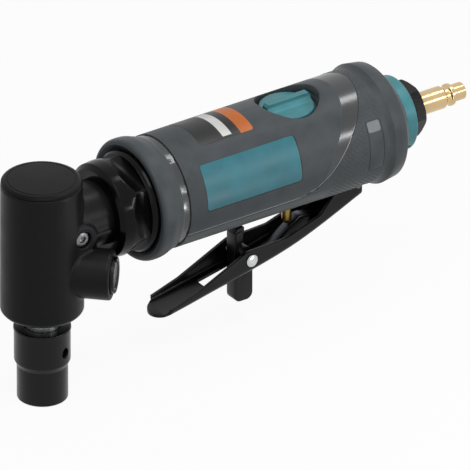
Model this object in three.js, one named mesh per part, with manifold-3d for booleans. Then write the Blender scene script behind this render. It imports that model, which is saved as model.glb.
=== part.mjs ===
// Right-angle pneumatic die grinder, in millimetres.
// +X runs along the barrel towards the air inlet and +Z up along the spindle. The part's origin is the middle of
// the flat top of the head. Inside the tool group, zero is where the barrel axis and the spindle axis cross.
import * as THREE from "three";
import { mergeVertices } from "three/addons/utils/BufferGeometryUtils.js";
import Module from "manifold-3d";

const wasm = await Module();
wasm.setup();

// Facets of round pieces, and the steps of a curl
const sides = { barrel: 36, large: 20, middle: 16, small: 12, wire: 5, curl: 8 };

// Gaps that are shared by many pieces
const clear = 0.3; // between pieces that move past each other
const press = 0.05; // around a seat
const slip = 0.12; // around a journal
const over = 1; // how far a cutter runs past the face that it cuts
const weld = 0.0001; // vertices closer than this are one

// Angle head, on the spindle axis
const head = {
  top: 20.4, capRadius: 14.5, capFlatRadius: 13.2, capRim: 1.5, shoulderRadius: 14.65, shoulderRound: 0.2,
  footRadius: 14.97, footRound: 1.8, bottom: -32.5, plugRadius: 11.9, plugDepth: 11, chamberRadius: 11.4,
  mouthRadius: 8.8,
};
const neck = {
  radius: 11.8, collarRadius: 13.3, collarStart: 26.3, collarEnd: 30.1, spigotRadius: 12, chamberRadius: 8.7,
  shoulder: 12.4,
};
const stub = { radius: 9.2, reach: 25.5, height: -15.8, turn: 45, bore: 7, boreDepth: 9.5, rim: 0.7 };
const boss = { radius: 5.9, x: 9.3, z: -1.7, face: 13, socketRadius: 3.1, socketDepth: 1.6 };
const rib = { width: 1.6, proud: 0.9, end: 21.5 };
const greaseScrew = { radius: 2.9, length: 2.6, proud: 0.9, keyRadius: 1.3, keyDepth: 1.2, dome: 0.6 };

// Ball bearings: bore radius, outer radius and width
const bearing = {
  upper: { bore: 3, outer: 9.5, width: 6 },
  lower: { bore: 4, outer: 11, width: 7 },
  pinion: { bore: 3, outer: 9.5, width: 6 },
  rotor: { bore: 4, outer: 9.5, width: 5.5 },
};
const race = { wall: 1.5, shieldRecess: 0.6 };
const lowerBearingFoot = -27;

// Bevel gears, whose pitch cones meet at zero
const mesh = {
  gearTeeth: 15, pinionTeeth: 12, coneReach: 11, faceWidth: 4, addendum: 0.7, dedendum: 1.15, rootShare: 0.6,
  tipShare: 0.2,
};
const gearHub = { radius: 6.6, foot: -11.6 };
const pinionHub = { radius: 5.6, end: 12.1 };

// Spindle, collet and collet nut
const spindle = {
  journal: 4, top: 14.1, collarRadius: 5.4, noseRadius: 6.4, threadRadius: 7, threadStart: -39.2,
  end: -56, taperMouth: 5.3, taperDepth: 15, lockHoleRadius: 2.9, lockHoleDepth: 2.4, lockHoles: 4,
};
const collet = { bore: 3, wall: 1.5, slot: 0.7, slots: 3, coneRadius: 5.6, coneHeight: 4, slotLength: 13 };
const nut = {
  rimRadius: 10.3, radius: 10.1, lowerRadius: 9.15, top: -38.2, rim: 1.2, waist: -51.4, waistEnd: -53.4, end: -66.8,
  edge: 0.6, mouth: 4.4, lip: 3.2, holeRadius: 1.8, holeDepth: 1.9, holeHeight: -46.8, holeTurn: -69, holes: 2,
};
const seal = { thickness: 2.4, lipGap: 0.15 };

// Spindle lock in the side stub
const lock = {
  capRadius: 6.6, capThickness: 3, proud: 1.3, pinRadius: 2.4, reach: 6.3, travel: 3, notchWidth: 2, notchDepth: 1.1,
};
const lockSpring = { radius: 4.2, wire: 0.4, curls: 2 };

// Clamp nut between the head and the barrel, with milled wrench flats
const clamp = {
  front: 22.9, frontDrop: 2.2, chamfer: 1.4, wall: 3.9, end: 38.7, lipEnd: 26, flatStart: 28, flatEnd: 35.4,
  flatWall: 1.6, flats: 6, cutterRadius: 13.5, flatTurn: 171, rimStep: 0.2, rimSink: 0.9, rimGap: 0.5,
};

// Metal motor housing
const housing = {
  start: 30.4, threadRadius: 13.6, shoulder: 39, radius: 18.2, motorBore: 12.2, motorEnd: 93, gapStart: 52,
  gapEnd: 92, gapDepth: 2, end: 139.5, bossRadius: 10.6, bossEnd: 152.6, inletRadius: 7.6, inletDepth: 20.6,
  feedRadius: 4, ductRadius: 1.8, ductHeight: -12.4, exhaustRadius: 1.6, exhaustDepth: 2.3, exhaustTurn: 22,
};

// Air motor
const motor = {
  front: 40, plate: 6, cylinder: 40, boreRadius: 10.2, offset: 0.7, rotorRadius: 9.2, slotWidth: 1.9, slotDepth: 4.9,
  vanes: 5, vaneThickness: 1.5, vaneHeight: 4.4, vaneRest: 0.15, portRadius: 1.6, ports: 3, portPitch: 10,
};
const drive = { key: 1.9, tail: 45.5 };
const spacer = { length: 4.6, wall: 1.6 };
const circlip = { thickness: 1.2, width: 1.7, opening: 40 };

// Composite grip: the outer profile of the body and the border of the upper shell. The flange in front and the ridge
// behind stand proud of the plain part, and the shoulder behind the ridge lies deeper than it.
const grip = {
  fit: 0.2, thickness: 2.6, front: 37, mouth: 38.6, mouthFit: 0.1, flangeProud: 1.6, flangeEnd: 42,
  bandStart: 46.8, bandEnd: 49.5, bandDepth: 0.35, rearStart: 134.8, ridge: 137.5, ridgeProud: 1.3, ridgeEnd: 141.2,
  ridgeDrop: 0.3, shoulder: 144.75, shoulderDrop: 2.6, cavityEnd: 141.5, end: 148, lip: 0.7, ringGap: 0.3,
};
const shell = {
  front: 49.8, sideHeight: -9.7, bendStart: 96, bendMiddle: 104.7, slantFoot: 113, slantTop: 131.2, seam: 0.3,
};

// Air regulator and its pocket
const knob = {
  x: 105.4, radius: 10, rimHeight: 17.6, floor: 14.2, pocket: 11.5, barTop: 20.5, barLength: 18.8, barWidth: 7,
  stemRadius: 6.2, stemEnd: 5.3, grooveRadius: 4.9, grooveHeight: 8.2, grooveWidth: 2, rimChamfer: 0.6,
};
const knobClip = { height: 12.2, thickness: 0.9, grooveRadius: 5.3 };

// Throttle valve, on the regulator's axis
const valve = {
  stemRadius: 1.85, tip: -30.1, tipCone: 1.7, tipRadius: 0.5, headRadius: 4, headHeight: 2.4, guideRadius: 1.4,
  guideTop: -0.8, chamberRadius: 4.6, seatFoot: -10, seatHeight: 2, seatBore: 2.6, headGap: 0.1,
  throatRadius: 3.3, throatFoot: -15, ringFoot: -17.9, ringGroove: 3.2, ringHeight: 1.6,
};
const valveSpring = { radius: 2.9, wire: 0.35, curls: 5 };

// Exhaust ring, silencer, inlet bushing and plug nipple
const exhaust = {
  radius: 13.9, start: 143.6, end: 153.1, wall: 1.3, rearWall: 1.5, edge: 0.5, slots: 5, slotWidth: 2.2,
  slotLength: 3.2, slotSpread: 26,
};
const silencer = { end: 151.2, gap: 0.25 };
const bushing = {
  across: 19, start: 153.4, end: 158.8, chamfer: 1.1, spigotEnd: 132, spigotRadius: 7.5, bore: 3.4, threadRadius: 4.9,
  threadDepth: 11,
};
const inletSeal = { width: 1.6 };
const nipple = {
  threadRadius: 4.8, threadLength: 10.4, stemRadius: 4.2, stemEnd: 172.4, slope: 0.9, neckRadius: 3.3, ringStart: 174.8,
  ringEnd: 177, ringRadius: 4.1, ringSlope: 0.6, tipRadius: 3.2, end: 181.7, edge: 0.4, bore: 2.1,
};

// Throttle lever: the underside runs through four points, and the side walls rise from it
const lever = {
  width: 14, thickness: 1.2, corner: 2.4, tipX: 46.3, tipZ: -49.2, frontX: 64, frontZ: -45.7, middleX: 103,
  middleZ: -36.9, rearX: 133.4, rearZ: -24.8, stations: 15, tongueWidth: 11.6, tongueEnd: 51.6, tongueRound: 5.6,
  slotStart: 68.5, slotEnd: 91.6, slotWidth: 6.4, pivotX: 130.5, pivotZ: -18.3, pivotGap: 0.12, earRadius: 3.4,
};
// Height of a side wall over the underside, and where along the lever it has that height
const wall = {
  tipX: 50.5, tip: 2.5, noseX: 63, nose: 4, hipX: 84, hip: 9.2, waistX: 93.5, waist: 7.2, lowX: 101, low: 5.6,
  riseX: 115.6, rise: 5, earX: 126.5, ear: 16.2,
};
const leverPin = { radius: 1.5, length: 19.2, sinkRadius: 2.15 };
const leverSlot = { start: 115.4, end: 135.3, roof: -13.7, side: 0.45 };
const strip = {
  width: 4.2, thickness: 1, footStart: 92.6, footEnd: 98.4, peakX: 110.2, peakZ: -27.9, peakFlat: 0.7, endX: 118,
  seat: 0.15,
};

// Safety catch in the lever, with its pin and spring
const safety = {
  width: 4.9, pinX: 85.5, pinZ: -36.1, front: 81.2, back: 89, tabEnd: -54.2, tabRound: 2.6, armTop: -24.5,
  armFront: 82.4, armCorner: -26.6, armBack: 85.4, armShoulder: -26, armNeck: 84.2, armNeckZ: -30.2,
};
const safetyPin = { radius: 1.5, headRadius: 2.35, headHeight: 0.9, headDome: 0.5 };
const safetySpring = { radius: 2.5, wire: 0.3, curls: 2, pitch: 1.05, leg: 4.2, shortLeg: 1.2, start: 3 };

const turn = Math.PI * 2;
const radians = THREE.MathUtils.degToRad;

// Radii of the grip, from the housing inside it and the exhaust ring behind it
const clampBore = housing.threadRadius + clear;
const clampRadius = clampBore + clamp.wall;
const clampFlat = clampBore + clamp.flatWall;
const housingGap = housing.radius - housing.gapDepth;
const exhaustCircle = housing.radius - housing.exhaustDepth;
const gripInner = housing.radius + grip.fit;
const gripRadius = gripInner + grip.thickness;
const flangeRadius = gripRadius + grip.flangeProud;
const ridgeRadius = gripRadius + grip.ridgeProud;
const gripOpening = exhaust.radius + grip.ringGap;
const mouthRadius = housing.radius + grip.mouthFit + clear;
const mouthEdge = gripRadius - grip.bandDepth;
const mouthSlope = (mouthEdge - mouthRadius) / (grip.mouth - grip.front);
const clampRim = mouthEdge - mouthSlope * clamp.rimSink - clamp.rimGap;
const clampRimEnd = grip.front + clamp.rimSink;

// Solids and booleans

function toSolid(geometry) {
  const bare = new THREE.BufferGeometry();
  const loose = geometry.index ? geometry.toNonIndexed() : geometry;
  bare.setAttribute("position", loose.getAttribute("position"));
  const merged = mergeVertices(bare, weld);
  const index = merged.index.array;
  const kept = [];
  for (let i = 0; i < index.length; i += 3) {
    const [a, b, c] = [index[i], index[i + 1], index[i + 2]];
    if (a !== b && b !== c && c !== a) kept.push(a, b, c);
  }
  const vertProperties = merged.getAttribute("position").array;
  const build = (list) =>
    new wasm.Manifold(new wasm.Mesh({ numProp: 3, vertProperties, triVerts: new Uint32Array(list) }));
  const made = build(kept);
  return made.volume() < 0 ? build(kept.reverse()) : made;
}

function toGeometry(solid) {
  const made = solid.getMesh();
  const count = made.numProp;
  const places = new Float32Array(made.numVert * 3);
  for (let i = 0; i < made.numVert; i++) {
    places.set(made.vertProperties.subarray(i * count, i * count + 3), i * 3);
  }
  const geometry = new THREE.BufferGeometry();
  geometry.setAttribute("position", new THREE.BufferAttribute(places, 3));
  geometry.setIndex(new THREE.BufferAttribute(made.triVerts, 1));
  geometry.computeVertexNormals();
  return geometry;
}

function joined(first, ...rest) {
  return rest.reduce((sum, piece) => sum.add(piece), first);
}

function cut(body, ...cutters) {
  return cutters.reduce((left, cutter) => left.subtract(cutter), body);
}

// A solid turned about Z, from points of height and radius. A profile that leaves the axis closes on itself.
function turned(points, count) {
  const outline = points.map(([height, radius]) => new THREE.Vector2(radius, height));
  const onAxis = points[0][1] === 0 && points[points.length - 1][1] === 0;
  if (!onAxis) outline.push(outline[0].clone());
  return toSolid(new THREE.LatheGeometry(outline, count).rotateX(turn / 4));
}

function turnedGeometry(points, count) {
  return toGeometry(turned(points, count));
}

// The same, turned about X.
function turnedX(points, count) {
  return toSolid(turnedGeometry(points, count).rotateY(turn / 4));
}

function rod(radius, from, to, count) {
  return turned([[from, 0], [from, radius], [to, radius], [to, 0]], count);
}

function rodX(radius, from, to, count) {
  return turnedX([[from, 0], [from, radius], [to, radius], [to, 0]], count);
}

function rodY(radius, from, to, count, x, z) {
  const made = new THREE.CylinderGeometry(radius, radius, to - from, count);
  return toSolid(made.translate(x, (from + to) / 2, z));
}

function block(x0, x1, y0, y1, z0, z1) {
  const made = new THREE.BoxGeometry(x1 - x0, y1 - y0, z1 - z0);
  return toSolid(made.translate((x0 + x1) / 2, (y0 + y1) / 2, (z0 + z1) / 2));
}

function moved(solid, x, y, z) {
  return toSolid(toGeometry(solid).translate(x, y, z));
}

function turnedRound(solid, angle) {
  return toSolid(toGeometry(solid).rotateZ(angle));
}

// A plate whose outline lies in the XZ plane, centred on Y = 0.
function plateXZ(shape, width, curveSteps) {
  const made = new THREE.ExtrudeGeometry(shape, { depth: width, bevelEnabled: false, curveSegments: curveSteps });
  return toSolid(made.translate(0, 0, -width / 2).rotateX(turn / 4));
}

function outlineOf(points) {
  return new THREE.Shape(points.map(([x, z]) => new THREE.Vector2(x, z)));
}

// A skin through equal rings of points, closed at both ends. The flat function lays an end ring out in a plane.
function loft(rings, flat) {
  const count = rings[0].length;
  const places = rings.flat().flatMap((p) => [p.x, p.y, p.z]);
  const index = [];
  for (let r = 0; r < rings.length - 1; r++) {
    for (let i = 0; i < count; i++) {
      const [a, b] = [r * count + i, r * count + ((i + 1) % count)];
      index.push(a, b, b + count, a, b + count, a + count);
    }
  }
  const last = (rings.length - 1) * count;
  const faces = THREE.ShapeUtils.triangulateShape(rings[0].map(flat), []);
  for (const [a, b, c] of faces) index.push(c, b, a);
  const ends = THREE.ShapeUtils.triangulateShape(rings[rings.length - 1].map(flat), []);
  for (const [a, b, c] of ends) index.push(last + a, last + b, last + c);
  const made = new THREE.BufferGeometry();
  made.setAttribute("position", new THREE.Float32BufferAttribute(places, 3));
  made.setIndex(index);
  return toSolid(made);
}

const finishes = {
  blackMetal: { color: 0x26282a, roughness: 0.42, metalness: 0.7 },
  glossBlack: { color: 0x1c1d1e, roughness: 0.18, metalness: 0.85 },
  steel: { color: 0xb9bcc0, roughness: 0.3, metalness: 1 },
  springSteel: { color: 0x3c3e42, roughness: 0.35, metalness: 1 },
  brass: { color: 0xc9a659, roughness: 0.25, metalness: 1 },
  aluminium: { color: 0x9fa3a6, roughness: 0.45, metalness: 0.9 },
  slate: { color: 0x50575b, roughness: 0.5, metalness: 0 },
  teal: { color: 0x4e9aa0, roughness: 0.4, metalness: 0 },
  rubber: { color: 0x151515, roughness: 0.8, metalness: 0 },
  felt: { color: 0x6a675f, roughness: 0.95, metalness: 0 },
  fibre: { color: 0x4a3524, roughness: 0.7, metalness: 0 },
};

function piece(name, solid, finish) {
  const made = new THREE.Mesh(toGeometry(solid), new THREE.MeshStandardMaterial(finishes[finish]));
  made.name = name;
  return made;
}

function group(...children) {
  const made = new THREE.Group();
  made.add(...children);
  return made;
}

// Angle head

function headShell() {
  const body = head.top - head.capRim;
  return turned([
    [head.bottom, 0],
    [head.bottom, head.footRadius - head.footRound],
    [head.bottom + head.footRound / 3, head.footRadius - head.footRound / 3],
    [head.bottom + head.footRound, head.footRadius],
    [body - head.shoulderRound, head.shoulderRadius],
    [body, head.shoulderRadius - head.shoulderRound],
    [body, 0],
  ], sides.barrel);
}

function neckShell() {
  return turnedX([
    [0, 0],
    [0, neck.radius],
    [neck.collarStart, neck.radius],
    [neck.collarStart, neck.collarRadius],
    [neck.collarEnd, neck.collarRadius],
    [neck.collarEnd, neck.spigotRadius],
    [motor.front - clear, neck.spigotRadius],
    [motor.front - clear, 0],
  ], sides.large);
}

// The side stub: a short barrel that leaves the head at an angle, built along +X and then turned.
function stubPiece(points, count) {
  return moved(turnedRound(turnedX(points, count), -radians(stub.turn)), 0, 0, stub.height);
}

function stubShell() {
  return stubPiece([
    [0, 0],
    [0, stub.radius],
    [stub.reach - stub.rim, stub.radius],
    [stub.reach, stub.radius - stub.rim],
    [stub.reach, 0],
  ], sides.large);
}

function stubBores() {
  const wide = stubPiece([
    [stub.reach - stub.boreDepth, 0],
    [stub.reach - stub.boreDepth, stub.bore],
    [stub.reach + over, stub.bore],
    [stub.reach + over, 0],
  ], sides.large);
  const narrow = stubPiece([
    [0, 0],
    [0, lock.pinRadius + clear],
    [stub.reach, lock.pinRadius + clear],
    [stub.reach, 0],
  ], sides.small);
  return joined(wide, narrow);
}

function bossShell() {
  return rodY(boss.radius, -boss.face, 0, sides.large, boss.x, boss.z);
}

function bossSocket() {
  const seat = rodY(boss.socketRadius, -boss.face - over, -boss.face + boss.socketDepth, sides.middle, boss.x, boss.z);
  const depth = boss.socketDepth + greaseScrew.length;
  const hole = rodY(greaseScrew.radius + press, -boss.face, -boss.face + depth, sides.middle, boss.x, boss.z);
  return joined(seat, hole);
}

function ribBlock() {
  const reach = neck.radius + rib.proud;
  return block(boss.x, rib.end, -reach, 0, boss.z - rib.width / 2, boss.z + rib.width / 2);
}

function headBores() {
  const plugFoot = head.top - head.capRim - head.plugDepth - clear;
  const seatTop = lowerBearingFoot + bearing.lower.width + clear;
  const upright = turned([
    [head.bottom - over, 0],
    [head.bottom - over, head.mouthRadius],
    [lowerBearingFoot, head.mouthRadius],
    [lowerBearingFoot, bearing.lower.outer + press],
    [seatTop, bearing.lower.outer + press],
    [seatTop, head.chamberRadius],
    [plugFoot, head.chamberRadius],
    [plugFoot, head.plugRadius + press],
    [head.top + over, head.plugRadius + press],
    [head.top + over, 0],
  ], sides.large);
  const level = turnedX([
    [0, 0],
    [0, neck.chamberRadius],
    [neck.shoulder, neck.chamberRadius],
    [neck.shoulder, bearing.pinion.outer + press],
    [motor.front + over, bearing.pinion.outer + press],
    [motor.front + over, 0],
  ], sides.large);
  return joined(upright, level);
}

function headBody() {
  const outer = joined(headShell(), neckShell(), stubShell(), bossShell(), ribBlock());
  return cut(outer, headBores(), stubBores(), bossSocket());
}

function headCap() {
  const seat = head.top - head.capRim;
  const foot = seat - head.plugDepth;
  const pocket = foot + bearing.upper.width + clear;
  return turned([
    [pocket + clear, 0],
    [pocket + clear, spindle.journal],
    [pocket, spindle.journal],
    [pocket, bearing.upper.outer + press],
    [foot, bearing.upper.outer + press],
    [foot, head.plugRadius],
    [seat, head.plugRadius],
    [seat, head.capRadius],
    [head.top - (head.capRadius - head.capFlatRadius), head.capRadius],
    [head.top, head.capFlatRadius],
    [head.top, 0],
  ], sides.large);
}

// Turned about Z with its head upwards; the group lays it in the boss.
function lubricationScrew() {
  const screw = turned([
    [-greaseScrew.length, 0],
    [-greaseScrew.length, greaseScrew.radius],
    [greaseScrew.proud - greaseScrew.dome, greaseScrew.radius],
    [greaseScrew.proud, greaseScrew.radius - greaseScrew.dome],
    [greaseScrew.proud, 0],
  ], sides.middle);
  return cut(screw, rod(greaseScrew.keyRadius, greaseScrew.proud - greaseScrew.keyDepth, greaseScrew.proud + over, 6));
}

// Ball bearing: one body of rings, balls and shields, with its lower face at zero.
function ballBearing({ bore, outer, width }) {
  const shield = race.shieldRecess;
  return turned([
    [0, bore],
    [0, bore + race.wall],
    [shield, bore + race.wall],
    [shield, outer - race.wall],
    [0, outer - race.wall],
    [0, outer],
    [width, outer],
    [width, outer - race.wall],
    [width - shield, outer - race.wall],
    [width - shield, bore + race.wall],
    [width, bore + race.wall],
    [width, bore],
  ], sides.large);
}

// Spindle and its gear

function lockHoles() {
  const from = spindle.journal + race.wall - spindle.lockHoleDepth;
  const hole = stubPiece([
    [from, 0],
    [from, spindle.lockHoleRadius],
    [head.chamberRadius, spindle.lockHoleRadius],
    [head.chamberRadius, 0],
  ], sides.small);
  return Array.from({ length: spindle.lockHoles }, (_, i) => turnedRound(hole, (turn * i) / spindle.lockHoles));
}

function spindleBody() {
  const seat = lowerBearingFoot + bearing.lower.width;
  const gearFoot = gearHub.foot;
  const upperFoot = head.top - head.capRim - head.plugDepth;
  const body = turned([
    [spindle.end, 0],
    [spindle.end, spindle.threadRadius],
    [spindle.threadStart, spindle.threadRadius],
    [spindle.threadStart, spindle.noseRadius],
    [lowerBearingFoot - clear, spindle.noseRadius],
    [lowerBearingFoot - clear, spindle.journal + race.wall],
    [lowerBearingFoot, spindle.journal + race.wall],
    [lowerBearingFoot, spindle.journal - slip],
    [seat, spindle.journal - slip],
    [seat, spindle.collarRadius],
    [gearFoot - press, spindle.collarRadius],
    [gearFoot - press, spindle.journal - slip],
    [upperFoot, spindle.journal - slip],
    [upperFoot, bearing.upper.bore - slip],
    [spindle.top, bearing.upper.bore - slip],
    [spindle.top, 0],
  ], sides.middle);
  const mouth = turned([
    [spindle.end - over, 0],
    [spindle.end - over, spindle.taperMouth + spindle.taperMouth / spindle.taperDepth],
    [spindle.end, spindle.taperMouth],
    [spindle.end + spindle.taperDepth, collet.bore + collet.wall + clear],
    [spindle.end + spindle.taperDepth, 0],
  ], sides.middle);
  return cut(body, mouth, ...lockHoles());
}

// Straight bevel gear with its axis along Z, its pitch cone meeting at zero and its teeth facing up from below.
function bevelCrown(teeth, halfAngle) {
  const toe = mesh.coneReach - mesh.faceWidth;
  const ringAt = (reach) => {
    const size = reach / mesh.coneReach;
    const points = [];
    const corner = (rise, angle) => {
      const radius = reach * Math.sin(halfAngle) + rise * size * Math.cos(halfAngle);
      const height = -reach * Math.cos(halfAngle) + rise * size * Math.sin(halfAngle);
      points.push(new THREE.Vector3(radius * Math.cos(angle), radius * Math.sin(angle), height));
    };
    const pitch = turn / teeth;
    for (let tooth = 0; tooth < teeth; tooth++) {
      const middle = tooth * pitch;
      corner(-mesh.dedendum, middle - (pitch * mesh.rootShare) / 2);
      corner(mesh.addendum, middle - (pitch * mesh.tipShare) / 2);
      corner(mesh.addendum, middle + (pitch * mesh.tipShare) / 2);
      corner(-mesh.dedendum, middle + (pitch * mesh.rootShare) / 2);
    }
    return points;
  };
  return loft([ringAt(mesh.coneReach), ringAt(toe)], (p) => new THREE.Vector2(p.x, p.y));
}

const gearCone = Math.atan2(mesh.gearTeeth, mesh.pinionTeeth);
const pinionCone = turn / 4 - gearCone;

function bevelGear() {
  const heel = -mesh.coneReach * Math.cos(gearCone);
  const hub = rod(gearHub.radius, gearHub.foot, heel - mesh.dedendum / 4, sides.middle);
  const bore = rod(spindle.journal, gearHub.foot - over, over, sides.middle);
  return cut(joined(bevelCrown(mesh.gearTeeth, gearCone), hub), bore);
}

function spindleSeal() {
  const top = lowerBearingFoot - clear;
  return turned([
    [top - seal.thickness, spindle.noseRadius + seal.lipGap],
    [top - seal.thickness, head.mouthRadius - press],
    [top, head.mouthRadius - press],
    [top, spindle.noseRadius + seal.lipGap],
  ], sides.large);
}

function colletBody() {
  const top = spindle.end + spindle.taperDepth - clear;
  const coneFoot = spindle.end - clear;
  const foot = coneFoot - collet.coneHeight;
  const body = turned([
    [foot, collet.bore],
    [foot, collet.coneRadius - collet.wall],
    [coneFoot, spindle.taperMouth - clear],
    [spindle.end, spindle.taperMouth - clear],
    [top, collet.bore + collet.wall],
    [top, collet.bore],
  ], sides.middle);
  const slit = block(0, collet.coneRadius + over, -collet.slot / 2, collet.slot / 2, foot - over,
    foot + collet.slotLength);
  const slits = Array.from({ length: collet.slots }, (_, i) => turnedRound(slit, (turn * i) / collet.slots));
  return cut(body, ...slits);
}

function colletNut() {
  const seat = spindle.end - clear - collet.coneHeight;
  const outer = turned([
    [nut.top, spindle.noseRadius + clear],
    [nut.top, nut.rimRadius - nut.edge],
    [nut.top - nut.rim / 2, nut.rimRadius],
    [nut.top - nut.rim, nut.radius],
    [nut.waist, nut.radius],
    [nut.waistEnd, nut.lowerRadius],
    [nut.end + nut.edge, nut.lowerRadius],
    [nut.end, nut.lowerRadius - nut.edge],
    [nut.end, nut.mouth],
    [seat - clear, nut.mouth],
    [seat, collet.coneRadius - collet.wall + clear],
    [spindle.end - clear, collet.coneRadius + clear],
    [spindle.end - clear, spindle.threadRadius + clear],
    [spindle.threadStart + clear, spindle.threadRadius + clear],
    [spindle.threadStart + clear, spindle.noseRadius + clear],
  ], sides.large);
  const hole = toSolid(toGeometry(rodX(nut.holeRadius, nut.radius - nut.holeDepth, nut.radius + over, sides.small))
    .translate(0, 0, nut.holeHeight));
  const holes = Array.from({ length: nut.holes }, (_, i) =>
    turnedRound(hole, radians(nut.holeTurn) + (turn * i) / nut.holes));
  return cut(outer, ...holes);
}

// Spindle lock, along +X with zero on the spindle axis; its group turns it into the stub.

function lockButton() {
  const outer = stub.reach + lock.proud;
  const body = turnedX([
    [lock.reach, 0],
    [lock.reach, lock.pinRadius],
    [outer - lock.capThickness, lock.pinRadius],
    [outer - lock.capThickness, lock.capRadius],
    [outer - stub.rim, lock.capRadius],
    [outer, lock.capRadius - stub.rim],
    [outer, 0],
  ], sides.large);
  const notch = block(outer - lock.notchDepth, outer + over, -lock.notchWidth / 2, lock.notchWidth / 2,
    lock.capRadius - stub.rim - lock.notchDepth, lock.capRadius + over);
  return cut(body, notch);
}

// A wound wire about X. It starts at the angle zero on the +Y side and its ends run straight, square to the axis.
function windingPoints({ radius, wire, curls }, pitch, startLeg, endLeg) {
  const points = [new THREE.Vector3(0, radius, -startLeg)];
  for (let step = 0; step <= curls * sides.curl; step++) {
    const angle = (turn * step) / sides.curl;
    const run = (pitch * step) / sides.curl;
    points.push(new THREE.Vector3(run, radius * Math.cos(angle), radius * Math.sin(angle)));
  }
  const last = points[points.length - 1];
  const angle = turn * curls;
  points.push(new THREE.Vector3(last.x, last.y - endLeg * Math.sin(angle), last.z + endLeg * Math.cos(angle)));
  return points;
}

function wireAlong(points, wire) {
  const axis = new THREE.Vector3(1, 0, 0);
  const rings = points.map((point, i) => {
    const before = points[Math.max(i - 1, 0)];
    const after = points[Math.min(i + 1, points.length - 1)];
    const along = after.clone().sub(before).normalize();
    const out = new THREE.Vector3().crossVectors(along, axis).normalize();
    const side = new THREE.Vector3().crossVectors(out, along).normalize();
    return Array.from({ length: sides.wire }, (_, k) => {
      const angle = (turn * k) / sides.wire;
      return point.clone().addScaledVector(out, wire * Math.cos(angle)).addScaledVector(side, wire * Math.sin(angle));
    });
  });
  const face = (_, k) => new THREE.Vector2(Math.cos((turn * k) / sides.wire), Math.sin((turn * k) / sides.wire));
  return loft(rings, face);
}

// Least distance between the wire and itself, on points that lie half a curl or more apart.
function leastGap(points, wire) {
  let least = Infinity;
  for (let i = 0; i < points.length; i++) {
    for (let j = i + sides.curl / 2; j < points.length; j++) {
      least = Math.min(least, points[i].distanceTo(points[j]) - wire - wire);
    }
  }
  return least;
}

function spring(name, sizes, pitch, startLeg, endLeg) {
  const points = windingPoints(sizes, pitch, startLeg, endLeg);
  console.log(name + ": least gap between curls " + leastGap(points, sizes.wire).toFixed(2) + " mm");
  return wireAlong(points, sizes.wire);
}

function lockSpringWire() {
  const room = lock.capThickness - lock.proud + lock.travel;
  const length = stub.boreDepth - room - clear - clear;
  const end = lockSpring.wire + lockSpring.wire;
  const pitch = (length - end) / lockSpring.curls;
  const made = spring("lock_spring", lockSpring, pitch, end, end);
  return moved(made, stub.reach - stub.boreDepth + clear + lockSpring.wire, 0, 0);
}

// Bevel pinion and its shaft, bearings and rings, along the barrel axis

const pinionFront = neck.shoulder + press;
const spacerStart = pinionFront + bearing.pinion.width;
const pinionRear = spacerStart + spacer.length;
const pinionRearEnd = pinionRear + bearing.pinion.width;

function bevelPinion() {
  const crown = toSolid(toGeometry(bevelCrown(mesh.pinionTeeth, pinionCone))
    .rotateZ(turn / mesh.pinionTeeth / 2).rotateY(-turn / 4));
  const heel = mesh.coneReach * Math.cos(pinionCone);
  const shaft = turnedX([
    [heel + mesh.dedendum / 4, 0],
    [heel + mesh.dedendum / 4, pinionHub.radius],
    [pinionHub.end, pinionHub.radius],
    [pinionHub.end, bearing.pinion.bore - slip],
    [pinionRearEnd + circlip.thickness + clear, bearing.pinion.bore - slip],
    [pinionRearEnd + circlip.thickness + clear, 0],
  ], sides.middle);
  const tail = rodX(drive.key, heel, drive.tail, 4);
  return joined(crown, shaft, tail);
}

function pinionSpacer() {
  return turnedX([
    [0, bearing.pinion.outer - spacer.wall],
    [0, bearing.pinion.outer],
    [spacer.length, bearing.pinion.outer],
    [spacer.length, bearing.pinion.outer - spacer.wall],
  ], sides.large);
}

function pinionCirclip() {
  const ring = turnedX([
    [0, bearing.pinion.outer - circlip.width],
    [0, bearing.pinion.outer],
    [circlip.thickness, bearing.pinion.outer],
    [circlip.thickness, bearing.pinion.outer - circlip.width],
  ], sides.large);
  const half = bearing.pinion.outer * Math.sin(radians(circlip.opening) / 2);
  return cut(ring, block(-over, circlip.thickness + over, -half, half, 0, bearing.pinion.outer + over));
}

// Clamp nut: round, with wrench flats that a round cutter has milled from the side

function flatCutter() {
  const middle = clamp.flatStart + clamp.cutterRadius;
  const stop = Math.acos((middle - clamp.flatEnd) / clamp.cutterRadius);
  const shape = new THREE.Shape();
  shape.absarc(middle, 0, clamp.cutterRadius, turn / 2 - stop, turn / 2 + stop, false);
  const depth = clampRadius + over - clampFlat;
  const made = new THREE.ExtrudeGeometry(shape, { depth, bevelEnabled: false, curveSegments: sides.middle / 2 });
  return toSolid(made.translate(0, 0, clampFlat));
}

function clampNut() {
  const outer = turnedX([
    [clamp.front, neck.radius + clear],
    [clamp.front, clampRadius - clamp.frontDrop],
    [clamp.front + clamp.chamfer, clampRadius - clamp.chamfer / 4],
    [clamp.flatStart, clampRadius],
    [clamp.flatEnd + clamp.rimStep, clampRadius],
    [clamp.flatEnd + clamp.rimStep, clampRim],
    [clampRimEnd, clampRim],
    [clampRimEnd, clampRadius],
    [clamp.end, clampRadius],
    [clamp.end, clampBore],
    [clamp.lipEnd, clampBore],
    [clamp.lipEnd, neck.radius + clear],
  ], sides.barrel);
  const flats = Array.from({ length: clamp.flats }, (_, i) => {
    const angle = radians(clamp.flatTurn) - turn / 4 + (turn * i) / clamp.flats;
    return toSolid(toGeometry(flatCutter()).rotateX(angle));
  });
  return cut(outer, ...flats);
}

// Metal motor housing

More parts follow.
